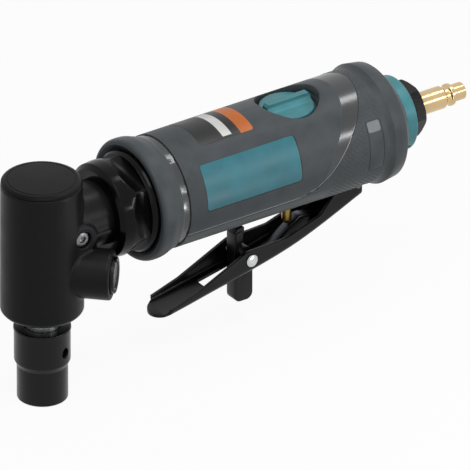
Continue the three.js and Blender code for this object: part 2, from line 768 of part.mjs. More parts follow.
function housingBores() {
  const motorBore = rodX(housing.motorBore, housing.start - over, housing.motorEnd, sides.large);
  const inlet = turnedX([
    [knob.x, 0],
    [knob.x, housing.feedRadius],
    [housing.bossEnd - housing.inletDepth, housing.feedRadius],
    [housing.bossEnd - housing.inletDepth, housing.inletRadius],
    [housing.bossEnd + over, housing.inletRadius],
    [housing.bossEnd + over, 0],
  ], sides.middle);
  const upright = moved(turned([
    [-housing.radius - over, 0],
    [-housing.radius - over, valve.stemRadius + clear],
    [valve.ringFoot, valve.stemRadius + clear],
    [valve.ringFoot, valve.ringGroove],
    [valve.ringFoot + valve.ringHeight, valve.ringGroove],
    [valve.ringFoot + valve.ringHeight, valve.stemRadius + clear],
    [valve.throatFoot, valve.stemRadius + clear],
    [valve.throatFoot, valve.throatRadius],
    [valve.seatFoot, valve.throatRadius],
    [valve.seatFoot, valve.chamberRadius],
    [knob.stemEnd - clear, valve.chamberRadius],
    [knob.stemEnd - clear, knob.stemRadius + clear],
    [knob.floor, knob.stemRadius + clear],
    [knob.floor, knob.pocket],
    [housing.radius + over, knob.pocket],
    [housing.radius + over, 0],
  ], sides.middle), knob.x, 0, 0);
  const duct = toSolid(toGeometry(rodX(housing.ductRadius, housing.motorEnd - over, knob.x, sides.small))
    .translate(0, 0, housing.ductHeight + housing.ductRadius));
  return joined(motorBore, inlet, upright, duct);
}

function exhaustBores() {
  const straight = toGeometry(rodX(housing.exhaustRadius, housing.gapEnd - over, housing.end + over, sides.small));
  const turns = [1, -1].flatMap((side) => [0, turn / 2].map((half) => half + side * radians(housing.exhaustTurn)));
  return turns.map((angle) => toSolid(straight.clone()
    .translate(0, exhaustCircle * Math.cos(angle), exhaustCircle * Math.sin(angle))));
}

function leverRecess() {
  const half = lever.width / 2 + leverSlot.side;
  return block(leverSlot.start, leverSlot.end, -half, half, -flangeRadius - over, leverSlot.roof);
}

function motorPorts() {
  return Array.from({ length: motor.ports }, (_, i) => {
    const x = motor.front + motor.plate + motor.cylinder / 2 + (i - (motor.ports - 1) / 2) * motor.portPitch;
    return rodY(motor.portRadius, 0, housing.radius + over, sides.small, x, 0);
  });
}

function motorHousing() {
  const outer = turnedX([
    [housing.start, 0],
    [housing.start, housing.threadRadius],
    [housing.shoulder, housing.threadRadius],
    [housing.shoulder, housing.radius],
    [housing.gapStart, housing.radius],
    [housing.gapStart, housingGap],
    [housing.gapEnd, housingGap],
    [housing.gapEnd, housing.radius],
    [housing.end, housing.radius],
    [housing.end, housing.bossRadius],
    [housing.bossEnd, housing.bossRadius],
    [housing.bossEnd, 0],
  ], sides.barrel);
  return cut(outer, housingBores(), leverRecess(), leverPinBores(), ...exhaustBores(), ...motorPorts());
}

// Air motor, along the barrel axis

const plateEnd = motor.front + motor.plate;
const cylinderEnd = plateEnd + motor.cylinder;

function endPlate(start, bearingSide) {
  const inner = bearing.rotor.width + press;
  const points = [
    [0, bearing.rotor.outer + press],
    [0, housing.motorBore - press],
    [motor.plate - press, housing.motorBore - press],
    [motor.plate - press, bearing.rotor.bore + clear],
    [inner, bearing.rotor.bore + clear],
    [inner, bearing.rotor.outer + press],
  ];
  const placed = points.map(([run, radius]) => [start + bearingSide * run, radius]);
  return turnedX(placed, sides.large);
}

function motorCylinder() {
  const tube = rodX(housing.motorBore - press, plateEnd, cylinderEnd, sides.large);
  const bore = toSolid(toGeometry(rodX(motor.boreRadius, plateEnd - over, cylinderEnd + over, sides.large))
    .translate(0, 0, motor.offset));
  return cut(tube, bore, ...motorPorts());
}

function vaneTurn(index) {
  return (turn * (index + 0.5)) / motor.vanes;
}

function rotorBody() {
  const journal = bearing.rotor.bore - slip;
  const frontEnd = motor.front - clear;
  const rearEnd = cylinderEnd + motor.plate - clear;
  const core = turnedX([
    [frontEnd, 0],
    [frontEnd, journal],
    [plateEnd + clear, journal],
    [plateEnd + clear, motor.rotorRadius],
    [cylinderEnd - clear, motor.rotorRadius],
    [cylinderEnd - clear, journal],
    [rearEnd, journal],
    [rearEnd, 0],
  ], sides.large);
  const socket = rodX(drive.key + press + press, frontEnd - over, drive.tail + clear, 4);
  const slot = block(plateEnd, cylinderEnd, -motor.slotWidth / 2, motor.slotWidth / 2,
    motor.rotorRadius - motor.slotDepth, motor.rotorRadius + over);
  const slots = Array.from({ length: motor.vanes }, (_, i) => toSolid(toGeometry(slot).rotateX(vaneTurn(i))));
  return cut(core, socket, ...slots);
}

// A vane lies in its slot, built upright and turned about the barrel axis by its group.
function vaneBlade() {
  const foot = motor.rotorRadius - motor.slotDepth + motor.vaneRest;
  const half = motor.vaneThickness / 2;
  return block(plateEnd + clear + press, cylinderEnd - clear - press, -half, half, foot, foot + motor.vaneHeight);
}

// Composite grip

function gripProfile() {
  const slope = grip.ridge - grip.rearStart;
  return [
    [grip.mouth, gripInner],
    [grip.mouth, mouthRadius],
    [grip.front, mouthEdge],
    [grip.front + clear, flangeRadius - clear - clear],
    [grip.front + slope / 2, flangeRadius],
    [grip.flangeEnd, flangeRadius],
    [(grip.flangeEnd + grip.bandStart) / 2, (flangeRadius + gripRadius) / 2],
    [grip.bandStart, gripRadius],
    [grip.bandStart, gripRadius - grip.bandDepth],
    [grip.bandEnd, gripRadius - grip.bandDepth],
    [grip.bandEnd, gripRadius],
    [grip.rearStart, gripRadius],
    [grip.rearStart + slope / 2, (gripRadius + ridgeRadius) / 2],
    [grip.ridge, ridgeRadius],
    [grip.ridgeEnd, ridgeRadius - grip.ridgeDrop],
    [grip.shoulder, ridgeRadius - grip.shoulderDrop],
    [grip.end, gripOpening + grip.lip],
    [grip.end, gripOpening],
    [grip.cavityEnd, gripOpening],
    [grip.cavityEnd, gripInner],
  ];
}

function shellBorder(gap) {
  const top = flangeRadius + over;
  const rise = (shell.slantTop - shell.slantFoot) / gripRadius;
  const side = shell.sideHeight - gap;
  const shape = new THREE.Shape();
  shape.moveTo(shell.front - gap, side);
  shape.lineTo(shell.bendStart, side);
  shape.quadraticCurveTo(shell.bendMiddle + gap, side, shell.slantFoot + gap, 0);
  shape.lineTo(shell.slantFoot + rise * top + gap, top);
  shape.lineTo(shell.front - gap, top);
  return plateXZ(shape, (gripRadius + over) * 2, sides.small / 2);
}

function knobPocket() {
  return moved(rod(knob.pocket, knob.floor, flangeRadius + over, sides.large), knob.x, 0, 0);
}

function leverPinBores() {
  const reach = flangeRadius + over;
  const through = rodY(leverPin.radius + press, -reach, reach, sides.small, lever.pivotX, lever.pivotZ);
  const sinks = [-1, 1].map((side) => {
    const from = side < 0 ? -reach : leverPin.length / 2;
    return rodY(leverPin.sinkRadius, from, from + reach - leverPin.length / 2, sides.small, lever.pivotX, lever.pivotZ);
  });
  return joined(through, ...sinks);
}

function gripBody() {
  const whole = turnedX(gripProfile(), sides.barrel);
  const stemHole = moved(rod(valve.stemRadius + clear, -flangeRadius, 0, sides.small), knob.x, 0, 0);
  return cut(whole, shellBorder(shell.seam), leverRecess(), leverPinBores(), stemHole);
}

function gripTopShell() {
  const whole = turnedX(gripProfile(), sides.barrel);
  return cut(whole.intersect(shellBorder(0)), knobPocket());
}

// Air regulator, valve and their rings, on the upright axis of the regulator

function regulatorKnob() {
  const grooveTop = knob.grooveHeight + knob.grooveWidth;
  const clipTop = knobClip.height + knobClip.thickness;
  const disc = turned([
    [knob.stemEnd, 0],
    [knob.stemEnd, knob.stemRadius],
    [knob.grooveHeight, knob.stemRadius],
    [knob.grooveHeight, knob.grooveRadius],
    [grooveTop, knob.grooveRadius],
    [grooveTop, knob.stemRadius],
    [knobClip.height, knob.stemRadius],
    [knobClip.height, knobClip.grooveRadius],
    [clipTop, knobClip.grooveRadius],
    [clipTop, knob.stemRadius],
    [knob.floor + clear, knob.stemRadius],
    [knob.floor + clear, knob.radius],
    [knob.rimHeight - knob.rimChamfer, knob.radius],
    [knob.rimHeight, knob.radius - knob.rimChamfer],
    [knob.rimHeight, 0],
  ], sides.large);
  const shape = new THREE.Shape();
  const half = knob.barWidth / 2;
  const run = knob.barLength / 2 - half;
  shape.absarc(run, 0, half, -turn / 4, turn / 4, false);
  shape.absarc(-run, 0, half, turn / 4, turn * 0.75, false);
  const bar = new THREE.ExtrudeGeometry(shape, { depth: knob.barTop - knob.rimHeight + knob.rimChamfer,
    bevelEnabled: false, curveSegments: sides.small / 4 });
  return joined(disc, toSolid(bar.translate(0, 0, knob.rimHeight - knob.rimChamfer)));
}

function roundRing(inner, outer, foot, height, count) {
  const edge = height / 4;
  return turned([
    [foot, inner + edge],
    [foot, outer - edge],
    [foot + edge, outer],
    [foot + height - edge, outer],
    [foot + height, outer - edge],
    [foot + height, inner + edge],
    [foot + height - edge, inner],
    [foot + edge, inner],
  ], count);
}

// The radius of the largest ring that turns inside the flat facets of the knob's bore
const ringReach = (knob.stemRadius + clear) * Math.cos(turn / 2 / sides.middle) - press;

function regulatorRing() {
  const height = knob.grooveWidth - clear;
  return roundRing(knob.grooveRadius + clear / 2, ringReach, knob.grooveHeight + clear / 2, height, sides.middle);
}

function regulatorClip() {
  return turned([
    [knobClip.height + press, knobClip.grooveRadius + clear / 2],
    [knobClip.height + press, ringReach],
    [knobClip.height + knobClip.thickness - press, ringReach],
    [knobClip.height + knobClip.thickness - press, knobClip.grooveRadius + clear / 2],
  ], sides.middle);
}

const headFoot = valve.seatFoot + valve.seatHeight + valve.headGap;

function throttleValve() {
  return turned([
    [valve.tip, 0],
    [valve.tip, valve.tipRadius],
    [valve.tip + valve.tipCone, valve.stemRadius],
    [headFoot, valve.stemRadius],
    [headFoot, valve.headRadius],
    [headFoot + valve.headHeight, valve.headRadius],
    [headFoot + valve.headHeight, valve.guideRadius],
    [valve.guideTop, valve.guideRadius],
    [valve.guideTop, 0],
  ], sides.middle);
}

function valveSeat() {
  return turned([
    [valve.seatFoot, valve.seatBore],
    [valve.seatFoot, valve.chamberRadius - press],
    [valve.seatFoot + valve.seatHeight, valve.chamberRadius - press],
    [valve.seatFoot + valve.seatHeight, valve.seatBore],
  ], sides.middle);
}

function stemRing() {
  return roundRing(valve.stemRadius + valve.headGap, valve.ringGroove - press, valve.ringFoot + press,
    valve.ringHeight - press - press, sides.middle);
}

function valveSpringWire() {
  const foot = headFoot + valve.headHeight + valve.headGap;
  const top = knob.stemEnd - valve.headGap;
  const end = valveSpring.wire + valveSpring.wire;
  const pitch = (top - foot - end) / valveSpring.curls;
  const made = spring("valve_spring", valveSpring, pitch, end, end);
  const upright = toSolid(toGeometry(made).rotateY(-turn / 4));
  return moved(upright, 0, 0, foot + valveSpring.wire);
}

// Exhaust ring, silencer, inlet bushing and nipple

function exhaustRing() {
  const ring = turnedX([
    [exhaust.start, exhaust.radius - exhaust.wall],
    [exhaust.start, exhaust.radius],
    [exhaust.end - exhaust.edge, exhaust.radius],
    [exhaust.end, exhaust.radius - exhaust.edge],
    [exhaust.end, housing.bossRadius + clear],
    [exhaust.end - exhaust.rearWall, housing.bossRadius + clear],
    [exhaust.end - exhaust.rearWall, exhaust.radius - exhaust.wall],
  ], sides.barrel);
  const slotEnd = exhaust.end - exhaust.rearWall;
  const slot = block(slotEnd - exhaust.slotLength, slotEnd, -exhaust.slotWidth / 2, exhaust.slotWidth / 2,
    -exhaust.radius - over, -exhaust.radius + exhaust.wall + over);
  const slots = Array.from({ length: exhaust.slots }, (_, i) => {
    const angle = radians(exhaust.slotSpread) * (i - (exhaust.slots - 1) / 2);
    return toSolid(toGeometry(slot).rotateX(angle));
  });
  return cut(ring, ...slots);
}

function silencerFelt() {
  return turnedX([
    [housing.end + clear, housing.bossRadius + clear],
    [housing.end + clear, exhaust.radius - exhaust.wall - silencer.gap],
    [silencer.end, exhaust.radius - exhaust.wall - silencer.gap],
    [silencer.end, housing.bossRadius + clear],
  ], sides.large);
}

function inletBushing() {
  const corner = bushing.across / 2 / Math.cos(turn / 12);
  const hex = rodX(corner, bushing.start, bushing.end, 6);
  const round = turnedX([
    [bushing.spigotEnd, 0],
    [bushing.spigotEnd, corner + over],
    [bushing.end - bushing.chamfer / 2, corner + over],
    [bushing.end - bushing.chamfer / 2, corner],
    [bushing.end, corner - bushing.chamfer],
    [bushing.end, 0],
  ], sides.large);
  const spigot = rodX(bushing.spigotRadius, bushing.spigotEnd + clear, bushing.start, sides.middle);
  const bore = turnedX([
    [bushing.spigotEnd - over, 0],
    [bushing.spigotEnd - over, bushing.bore],
    [bushing.end - bushing.threadDepth, bushing.bore],
    [bushing.end - bushing.threadDepth, bushing.threadRadius],
    [bushing.end + over, bushing.threadRadius],
    [bushing.end + over, 0],
  ], sides.middle);
  return cut(joined(hex.intersect(round), spigot), bore);
}

function inletSealRing() {
  const inner = bushing.spigotRadius + clear;
  return turnedX([
    [housing.bossEnd + press, inner],
    [housing.bossEnd + press, inner + inletSeal.width],
    [bushing.start - press, inner + inletSeal.width],
    [bushing.start - press, inner],
  ], sides.large);
}

function plugNipple() {
  return turnedX([
    [bushing.end - nipple.threadLength, nipple.bore],
    [bushing.end - nipple.threadLength, nipple.threadRadius],
    [bushing.end, nipple.threadRadius],
    [bushing.end, nipple.stemRadius],
    [nipple.stemEnd, nipple.stemRadius],
    [nipple.stemEnd + nipple.slope, nipple.neckRadius],
    [nipple.ringStart, nipple.neckRadius],
    [nipple.ringStart + nipple.ringSlope, nipple.ringRadius],
    [nipple.ringEnd - nipple.ringSlope, nipple.ringRadius],
    [nipple.ringEnd, nipple.tipRadius],
    [nipple.end - nipple.edge, nipple.tipRadius],
    [nipple.end, nipple.tipRadius - nipple.edge],
    [nipple.end, nipple.bore],
  ], sides.middle);
}

// Throttle lever: a pressed channel that hangs open side up under the barrel

const rail = new THREE.SplineCurve([
  new THREE.Vector2(lever.tipX, lever.tipZ),
  new THREE.Vector2(lever.frontX, lever.frontZ),
  new THREE.Vector2(lever.middleX, lever.middleZ),
  new THREE.Vector2(lever.rearX, lever.rearZ),
]).getPoints(lever.stations);

function undersideAt(x) {
  const next = Math.max(1, rail.findIndex((p) => p.x >= x));
  const [a, b] = [rail[next - 1], rail[next]];
  return a.y + ((b.y - a.y) * (x - a.x)) / (b.x - a.x);
}

function channelSection(x, foot) {
  const half = lever.width / 2;
  const roof = wall.ear + lever.earRadius + lever.corner;
  const arc = (radius, side, backwards) => {
    const steps = [0, 1, 2, 3].map((k) => (turn / 4) * (k / 3));
    if (backwards) steps.reverse();
    return steps.map((angle) => [
      side * (half - lever.corner + radius * Math.cos(angle)),
      lever.corner - radius * Math.sin(angle),
    ]);
  };
  const skin = [
    [-half, roof],
    ...arc(lever.corner, -1, false),
    ...arc(lever.corner, 1, true),
    [half, roof],
    [half - lever.thickness, roof],
    ...arc(lever.corner - lever.thickness, 1, false),
    ...arc(lever.corner - lever.thickness, -1, true),
    [-half + lever.thickness, roof],
  ];
  return skin.map(([y, z]) => new THREE.Vector3(x, y, foot + z));
}

function wallOutline() {
  const tops = [
    [wall.tipX, wall.tip], [wall.noseX, wall.nose], [wall.hipX, wall.hip], [wall.waistX, wall.waist],
    [wall.lowX, wall.low], [wall.riseX, wall.rise],
  ].map(([x, height]) => [x, undersideAt(x) + height]);
  const ear = lever.pivotZ + lever.earRadius;
  return outlineOf([
    [lever.tipX - over, lever.tipZ - lever.corner],
    [lever.tipX - over, lever.tipZ + wall.tip],
    ...tops,
    [wall.earX, ear],
    [lever.rearX + over, ear],
    [lever.rearX + over, lever.rearZ - lever.corner],
    [lever.middleX, lever.middleZ - lever.corner - over],
    [lever.frontX, lever.frontZ - lever.corner - over],
  ]);
}

function planOutline() {
  const tongue = lever.tongueWidth / 2;
  const half = lever.width / 2 + over;
  const shape = new THREE.Shape();
  shape.absellipse(lever.tipX + lever.tongueRound, 0, lever.tongueRound, tongue, turn / 4, turn * 0.75, false, 0);
  shape.lineTo(lever.tongueEnd, -tongue);
  shape.lineTo(lever.tongueEnd, -half);
  shape.lineTo(lever.rearX + over, -half);
  shape.lineTo(lever.rearX + over, half);
  shape.lineTo(lever.tongueEnd, half);
  shape.lineTo(lever.tongueEnd, tongue);
  const foot = lever.tipZ - over;
  const made = new THREE.ExtrudeGeometry(shape, { depth: lever.pivotZ + lever.earRadius - foot + over,
    bevelEnabled: false, curveSegments: sides.small / 2 });
  return toSolid(made.translate(0, 0, foot));
}

function throttleLever() {
  const channel = loft(rail.map((p) => channelSection(p.x, p.y)), (p) => new THREE.Vector2(p.y, p.z));
  const trimmed = channel.intersect(plateXZ(wallOutline(), lever.width + over, 1)).intersect(planOutline());
  const reach = lever.width / 2 + over;
  const slot = block(lever.slotStart, lever.slotEnd, -lever.slotWidth / 2, lever.slotWidth / 2,
    lever.tipZ - over, safety.pinZ);
  const pivot = rodY(leverPin.radius + lever.pivotGap, -reach, reach, sides.small, lever.pivotX, lever.pivotZ);
  const pinHole = rodY(safetyPin.radius + press, -reach, reach, sides.small, safety.pinX, safety.pinZ);
  return cut(trimmed, slot, pivot, pinHole);
}

function leverPinRod() {
  return rodY(leverPin.radius, -leverPin.length / 2, leverPin.length / 2, sides.small, lever.pivotX, lever.pivotZ);
}

function leverStrip() {
  const web = (x) => undersideAt(x) + lever.thickness + strip.seat;
  const left = strip.peakX - strip.peakFlat;
  const right = strip.peakX + strip.peakFlat;
  return plateXZ(outlineOf([
    [strip.footStart, web(strip.footStart)],
    [strip.footEnd, web(strip.footEnd)],
    [left, strip.peakZ - strip.thickness],
    [right, strip.peakZ - strip.thickness],
    [strip.endX, web(strip.endX)],
    [strip.endX, web(strip.endX) + strip.thickness],
    [right + strip.thickness / 2, strip.peakZ],
    [left, strip.peakZ],
    [strip.footEnd, web(strip.footEnd) + strip.thickness],
    [strip.footStart, web(strip.footStart) + strip.thickness],
  ]), strip.width, 1);
}

// Safety catch: an upright bar on a pin across the lever

function safetyCatch() {
  const eye = safety.back - safety.pinX;
  const reach = safety.armTop - safety.pinZ;
  const angleOf = (x) => Math.acos((x - safety.pinX) / reach);
  const tabX = safety.back - safety.tabRound;
  const shape = new THREE.Shape();
  shape.moveTo(safety.front, safety.tabEnd + safety.tabRound);
  shape.lineTo(safety.front, safety.armCorner);
  shape.absarc(safety.pinX, safety.pinZ, reach, angleOf(safety.armFront), angleOf(safety.armBack), true);
  shape.lineTo(safety.armBack, safety.armShoulder);
  shape.lineTo(safety.armNeck, safety.armNeckZ);
  shape.absarc(safety.pinX, safety.pinZ, eye, turn * 0.28, 0, true);
  shape.lineTo(safety.back, safety.tabEnd + safety.tabRound);
  shape.absarc(tabX, safety.tabEnd + safety.tabRound, safety.tabRound, 0, -turn / 4, true);
  const frontX = safety.front + safety.tabRound;
  shape.absarc(frontX, safety.tabEnd + safety.tabRound, safety.tabRound, -turn / 4, -turn / 2, true);
  const plate = plateXZ(shape, safety.width, sides.small / 4);
  const hole = rodY(safetyPin.radius + lever.pivotGap, -safety.width, safety.width, sides.small, safety.pinX,
    safety.pinZ);
  return cut(plate, hole);
}

// Turned about Z, with its middle at zero; the group lays it across the lever.
function safetyPinRod() {
  const half = lever.width / 2 + press;
  const outer = half + safetyPin.headHeight;
  return turned([
    [-outer, 0],
    [-outer, safetyPin.headRadius - safetyPin.headDome],
    [-outer + safetyPin.headDome, safetyPin.headRadius],
    [-half, safetyPin.headRadius],
    [-half, safetyPin.radius],
    [half, safetyPin.radius],
    [half, safetyPin.headRadius],
    [outer - safetyPin.headDome, safetyPin.headRadius],
    [outer, safetyPin.headRadius - safetyPin.headDome],
    [outer, 0],
  ], sides.small);
}

// Wound about the pin beside the catch. One leg lies along the channel, the other leans on the catch.
function safetySpringWire() {
  const made = spring("safety_spring", safetySpring, safetySpring.pitch, safetySpring.leg, safetySpring.shortLeg);
  return toSolid(toGeometry(made).rotateZ(turn / 4));
}

// Assembly

function at(object, x, y, z) {
  object.position.set(x, y, z);
  return object;
}

function headGroup() {
  const screw = at(piece("lubrication_screw", lubricationScrew(), "steel"), boss.x, -boss.face + boss.socketDepth,
    boss.z);
  screw.rotation.x = turn / 4;
  const upperBearingFoot = head.top - head.capRim - head.plugDepth;
  const lockGroup = at(group(
    piece("spindle_lock_button", lockButton(), "blackMetal"),
    piece("lock_spring", lockSpringWire(), "springSteel"),
  ), 0, 0, stub.height);
  lockGroup.rotation.z = -radians(stub.turn);
  return group(
    piece("head_body", headBody(), "blackMetal"),
    piece("head_cap", headCap(), "blackMetal"),
    screw,
    at(piece("upper_spindle_bearing", ballBearing(bearing.upper), "steel"), 0, 0, upperBearingFoot),
    at(piece("lower_spindle_bearing", ballBearing(bearing.lower), "steel"), 0, 0, lowerBearingFoot),
    piece("spindle", spindleBody(), "steel"),
    piece("bevel_gear", bevelGear(), "steel"),
    piece("spindle_seal", spindleSeal(), "rubber"),
    piece("collet", colletBody(), "steel"),
    piece("collet_nut", colletNut(), "blackMetal"),
    lockGroup,
  );
}

function bearingX(name, sizes, x) {
  const made = piece(name, ballBearing(sizes), "steel");
  made.rotation.y = turn / 4;
  return at(made, x, 0, 0);
}

function motorGroup() {
  const vanes = Array.from({ length: motor.vanes }, (_, i) => {
    const vane = piece("rotor_vane_" + (i + 1), vaneBlade(), "fibre");
    vane.rotation.x = vaneTurn(i);
    return vane;
  });
  return group(
    piece("bevel_pinion", bevelPinion(), "steel"),
    bearingX("pinion_front_bearing", bearing.pinion, pinionFront),
    at(piece("pinion_spacer", pinionSpacer(), "steel"), spacerStart, 0, 0),
    bearingX("pinion_rear_bearing", bearing.pinion, pinionRear),
    at(piece("pinion_circlip", pinionCirclip(), "springSteel"), pinionRearEnd, 0, 0),
    piece("front_end_plate", endPlate(motor.front, 1), "aluminium"),
    bearingX("rotor_front_bearing", bearing.rotor, motor.front),
    piece("motor_cylinder", motorCylinder(), "steel"),
    piece("rotor", rotorBody(), "steel"),
    ...vanes,
    piece("rear_end_plate", endPlate(cylinderEnd + motor.plate, -1), "aluminium"),
    bearingX("rotor_rear_bearing", bearing.rotor, cylinderEnd + motor.plate - bearing.rotor.width),
  );
}

function barrelGroup() {
  return group(
    piece("clamp_nut", clampNut(), "glossBlack"),
    piece("motor_housing", motorHousing(), "aluminium"),
    piece("grip_body", gripBody(), "slate"),
    piece("grip_top_shell", gripTopShell(), "slate"),
    piece("exhaust_ring", exhaustRing(), "teal"),
    piece("silencer", silencerFelt(), "felt"),
    piece("inlet_bushing", inletBushing(), "glossBlack"),
    piece("inlet_seal", inletSealRing(), "rubber"),
    piece("plug_nipple", plugNipple(), "brass"),
  );
}

function valveGroup() {
  return at(group(
    piece("regulator_knob", regulatorKnob(), "teal"),
    piece("regulator_o_ring", regulatorRing(), "rubber"),
    piece("regulator_clip", regulatorClip(), "springSteel"),
    piece("throttle_valve", throttleValve(), "brass"),
    piece("valve_seat", valveSeat(), "brass"),
    piece("valve_spring", valveSpringWire(), "springSteel"),
    piece("stem_o_ring", stemRing(), "rubber"),
  ), knob.x, 0, 0);
}

function leverGroup() {
  const pin = at(piece("safety_pin", safetyPinRod(), "steel"), safety.pinX, 0, safety.pinZ);
  pin.rotation.x = turn / 4;
  return group(
    piece("throttle_lever", throttleLever(), "blackMetal"),
    piece("lever_pin", leverPinRod(), "steel"),
    piece("lever_strip", leverStrip(), "steel"),
    piece("safety_lever", safetyCatch(), "blackMetal"),
    pin,
    at(piece("safety_spring", safetySpringWire(), "springSteel"), safety.pinX, safetySpring.start, safety.pinZ),
  );
}

const tool = at(group(headGroup(), motorGroup(), barrelGroup(), valveGroup(), leverGroup()), 0, 0, -head.top);

export default group(tool);
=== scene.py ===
"""Right-angle pneumatic die grinder: the smooth forms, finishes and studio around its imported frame."""

from __future__ import annotations

import logging
import math
from dataclasses import dataclass, field
from enum import Enum
from typing import Callable, Iterable, Sequence

import bmesh
import bpy
from mathutils import Matrix, Vector

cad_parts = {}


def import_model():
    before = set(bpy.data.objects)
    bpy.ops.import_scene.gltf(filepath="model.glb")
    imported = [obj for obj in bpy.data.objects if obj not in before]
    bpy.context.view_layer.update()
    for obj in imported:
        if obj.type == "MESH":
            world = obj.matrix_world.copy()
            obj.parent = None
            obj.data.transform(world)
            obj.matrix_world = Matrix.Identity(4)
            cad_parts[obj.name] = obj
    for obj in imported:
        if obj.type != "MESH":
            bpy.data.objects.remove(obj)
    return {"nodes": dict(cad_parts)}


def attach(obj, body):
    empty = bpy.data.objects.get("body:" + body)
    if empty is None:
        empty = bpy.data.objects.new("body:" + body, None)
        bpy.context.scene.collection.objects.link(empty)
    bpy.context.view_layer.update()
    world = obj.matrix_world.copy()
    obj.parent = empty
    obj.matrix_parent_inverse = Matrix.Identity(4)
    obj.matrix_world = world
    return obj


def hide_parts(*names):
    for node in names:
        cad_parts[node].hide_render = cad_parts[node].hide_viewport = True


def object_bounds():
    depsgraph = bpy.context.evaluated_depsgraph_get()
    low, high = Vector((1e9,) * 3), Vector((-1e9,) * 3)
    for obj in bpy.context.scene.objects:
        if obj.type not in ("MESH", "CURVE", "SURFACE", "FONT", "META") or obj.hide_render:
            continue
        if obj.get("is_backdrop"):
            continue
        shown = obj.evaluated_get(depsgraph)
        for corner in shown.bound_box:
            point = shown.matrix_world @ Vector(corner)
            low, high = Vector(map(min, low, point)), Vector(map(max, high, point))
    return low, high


LOG = logging.getLogger("grinder")

Piece = bpy.types.Object
Tree = bpy.types.NodeTree
Node = bpy.types.Node
Socket = bpy.types.NodeSocket
Pair = tuple[float, float]
Triple = tuple[float, float, float]
Quad = tuple[float, float, float, float]

MM = 0.001
OVER = 1.0  # how far a cutter runs past the face that it cuts, in millimetres
AXIS_DROP = 20.4  # the barrel's axis lies this far below the frame's origin, in millimetres


class Axis(Enum):
    """The line that a turned piece is turned about."""

    X = "x"
    Z = "z"


class Grain(Enum):
    """The surface detail of a finish."""

    SMOOTH = "smooth"
    MOULDED = "moulded"
    CAST = "cast"
    TURNED_X = "turned about X"
    TURNED_Z = "turned about Z"
    BRUSHED = "brushed"
    FELT = "felt"


@dataclass(frozen=True)
class Finish:
    """One finish: display colour, gloss and the detail of its surface, with sizes in millimetres."""

    name: str
    colour: Triple
    roughness: float
    metal: float = 0.0
    grain: Grain = Grain.SMOOTH
    grain_size: float = 0.5
    relief: float = 0.01
    mottle: float = 0.06
    slot: str = "steel"
    specular: float = 0.5


BLACK_HEAD = Finish(
    "black_head_paint", (22, 22, 23), 0.38, 0.0, Grain.CAST, 0.5, 0.01, slot="black_head", specular=0.12
)
BLACK_CAP = Finish(
    "black_cap_paint", (17, 17, 18), 0.4, 0.0, Grain.TURNED_Z, 0.35, 0.004, slot="black_head", specular=0.08
)
GLOSS_BLACK = Finish(
    "gloss_black_nut", (10, 10, 11), 0.15, 0.0, Grain.TURNED_X, 0.3, 0.002, slot="gloss_black", specular=0.11
)
BLACK_OXIDE = Finish(
    "black_oxide", (17, 17, 18), 0.28, 0.0, Grain.TURNED_Z, 0.25, 0.005, slot="black_oxide", specular=0.2
)
BLACK_LEVER = Finish(
    "black_lever_paint", (25, 25, 27), 0.3, 0.0, Grain.CAST, 0.7, 0.006, slot="black_lever", specular=0.18
)
BARE_STEEL = Finish("bare_steel", (190, 191, 193), 0.27, 1.0, Grain.BRUSHED, 0.2, 0.003, slot="steel")
TURNED_STEEL = Finish("turned_steel", (180, 182, 185), 0.28, 1.0, Grain.TURNED_Z, 0.2, 0.004, slot="steel")
MOTOR_STEEL = Finish("motor_steel", (170, 172, 175), 0.32, 1.0, Grain.TURNED_X, 0.2, 0.004, slot="steel")
RING_STEEL = Finish("ring_steel", (200, 202, 205), 0.16, 1.0, Grain.SMOOTH, slot="bearing_steel")
WIRE_STEEL = Finish("wire_steel", (120, 121, 124), 0.3, 1.0, Grain.BRUSHED, 0.15, 0.003, slot="spring_steel")
PIN_STEEL = Finish("pin_steel", (92, 93, 96), 0.32, 1.0, Grain.BRUSHED, 0.15, 0.002, slot="steel")
# A darker copy of the spring steel for the lever's strip: its darkness is painted shade for the gap under the
# barrel where the strip sits.
STRIP_STEEL_PAINTED_SHADE = Finish("strip_steel_painted_shade", (66, 68, 72), 0.34, 1.0, Grain.BRUSHED, 0.15, 0.003, slot="spring_steel")
BRASS = Finish("turned_brass", (204, 178, 134), 0.2, 1.0, Grain.SMOOTH, relief=0.0, slot="brass", mottle=0.02)
VALVE_BRASS = Finish("valve_brass", (140, 118, 66), 0.3, 1.0, Grain.TURNED_Z, 0.25, 0.003, slot="brass")
ALUMINIUM = Finish(
    "motor_aluminium", (150, 153, 156), 0.42, 0.9, Grain.TURNED_X, 0.3, 0.006, slot="cast_aluminium"
)
SLATE = Finish(
    "slate_grip", (77, 82, 85), 0.44, 0.0, Grain.MOULDED, 0.22, 0.012, slot="slate_plastic", specular=0.17
)
SLATE_GLOSS = Finish(
    "slate_gloss_band", (38, 43, 46), 0.2, relief=0.0, slot="slate_plastic", mottle=0.02, specular=0.75
)
# A pale copy of the slate, laid along the shell's border as a painted highlight of its rounded edge.
PAINTED_EDGE_HIGHLIGHT = Finish("painted_edge_highlight", (158, 162, 164), 0.3, slot="slate_plastic", relief=0.001)
TEAL = Finish(
    "teal_plastic", (78, 143, 151), 0.36, 0.0, Grain.MOULDED, 0.3, 0.006, slot="teal_plastic", specular=0.22
)
TEAL_FILM = Finish(
    "teal_film", (60, 122, 134), 0.4, 0.0, Grain.SMOOTH, 0.4, 0.002, slot="teal_plastic", specular=0.3
)
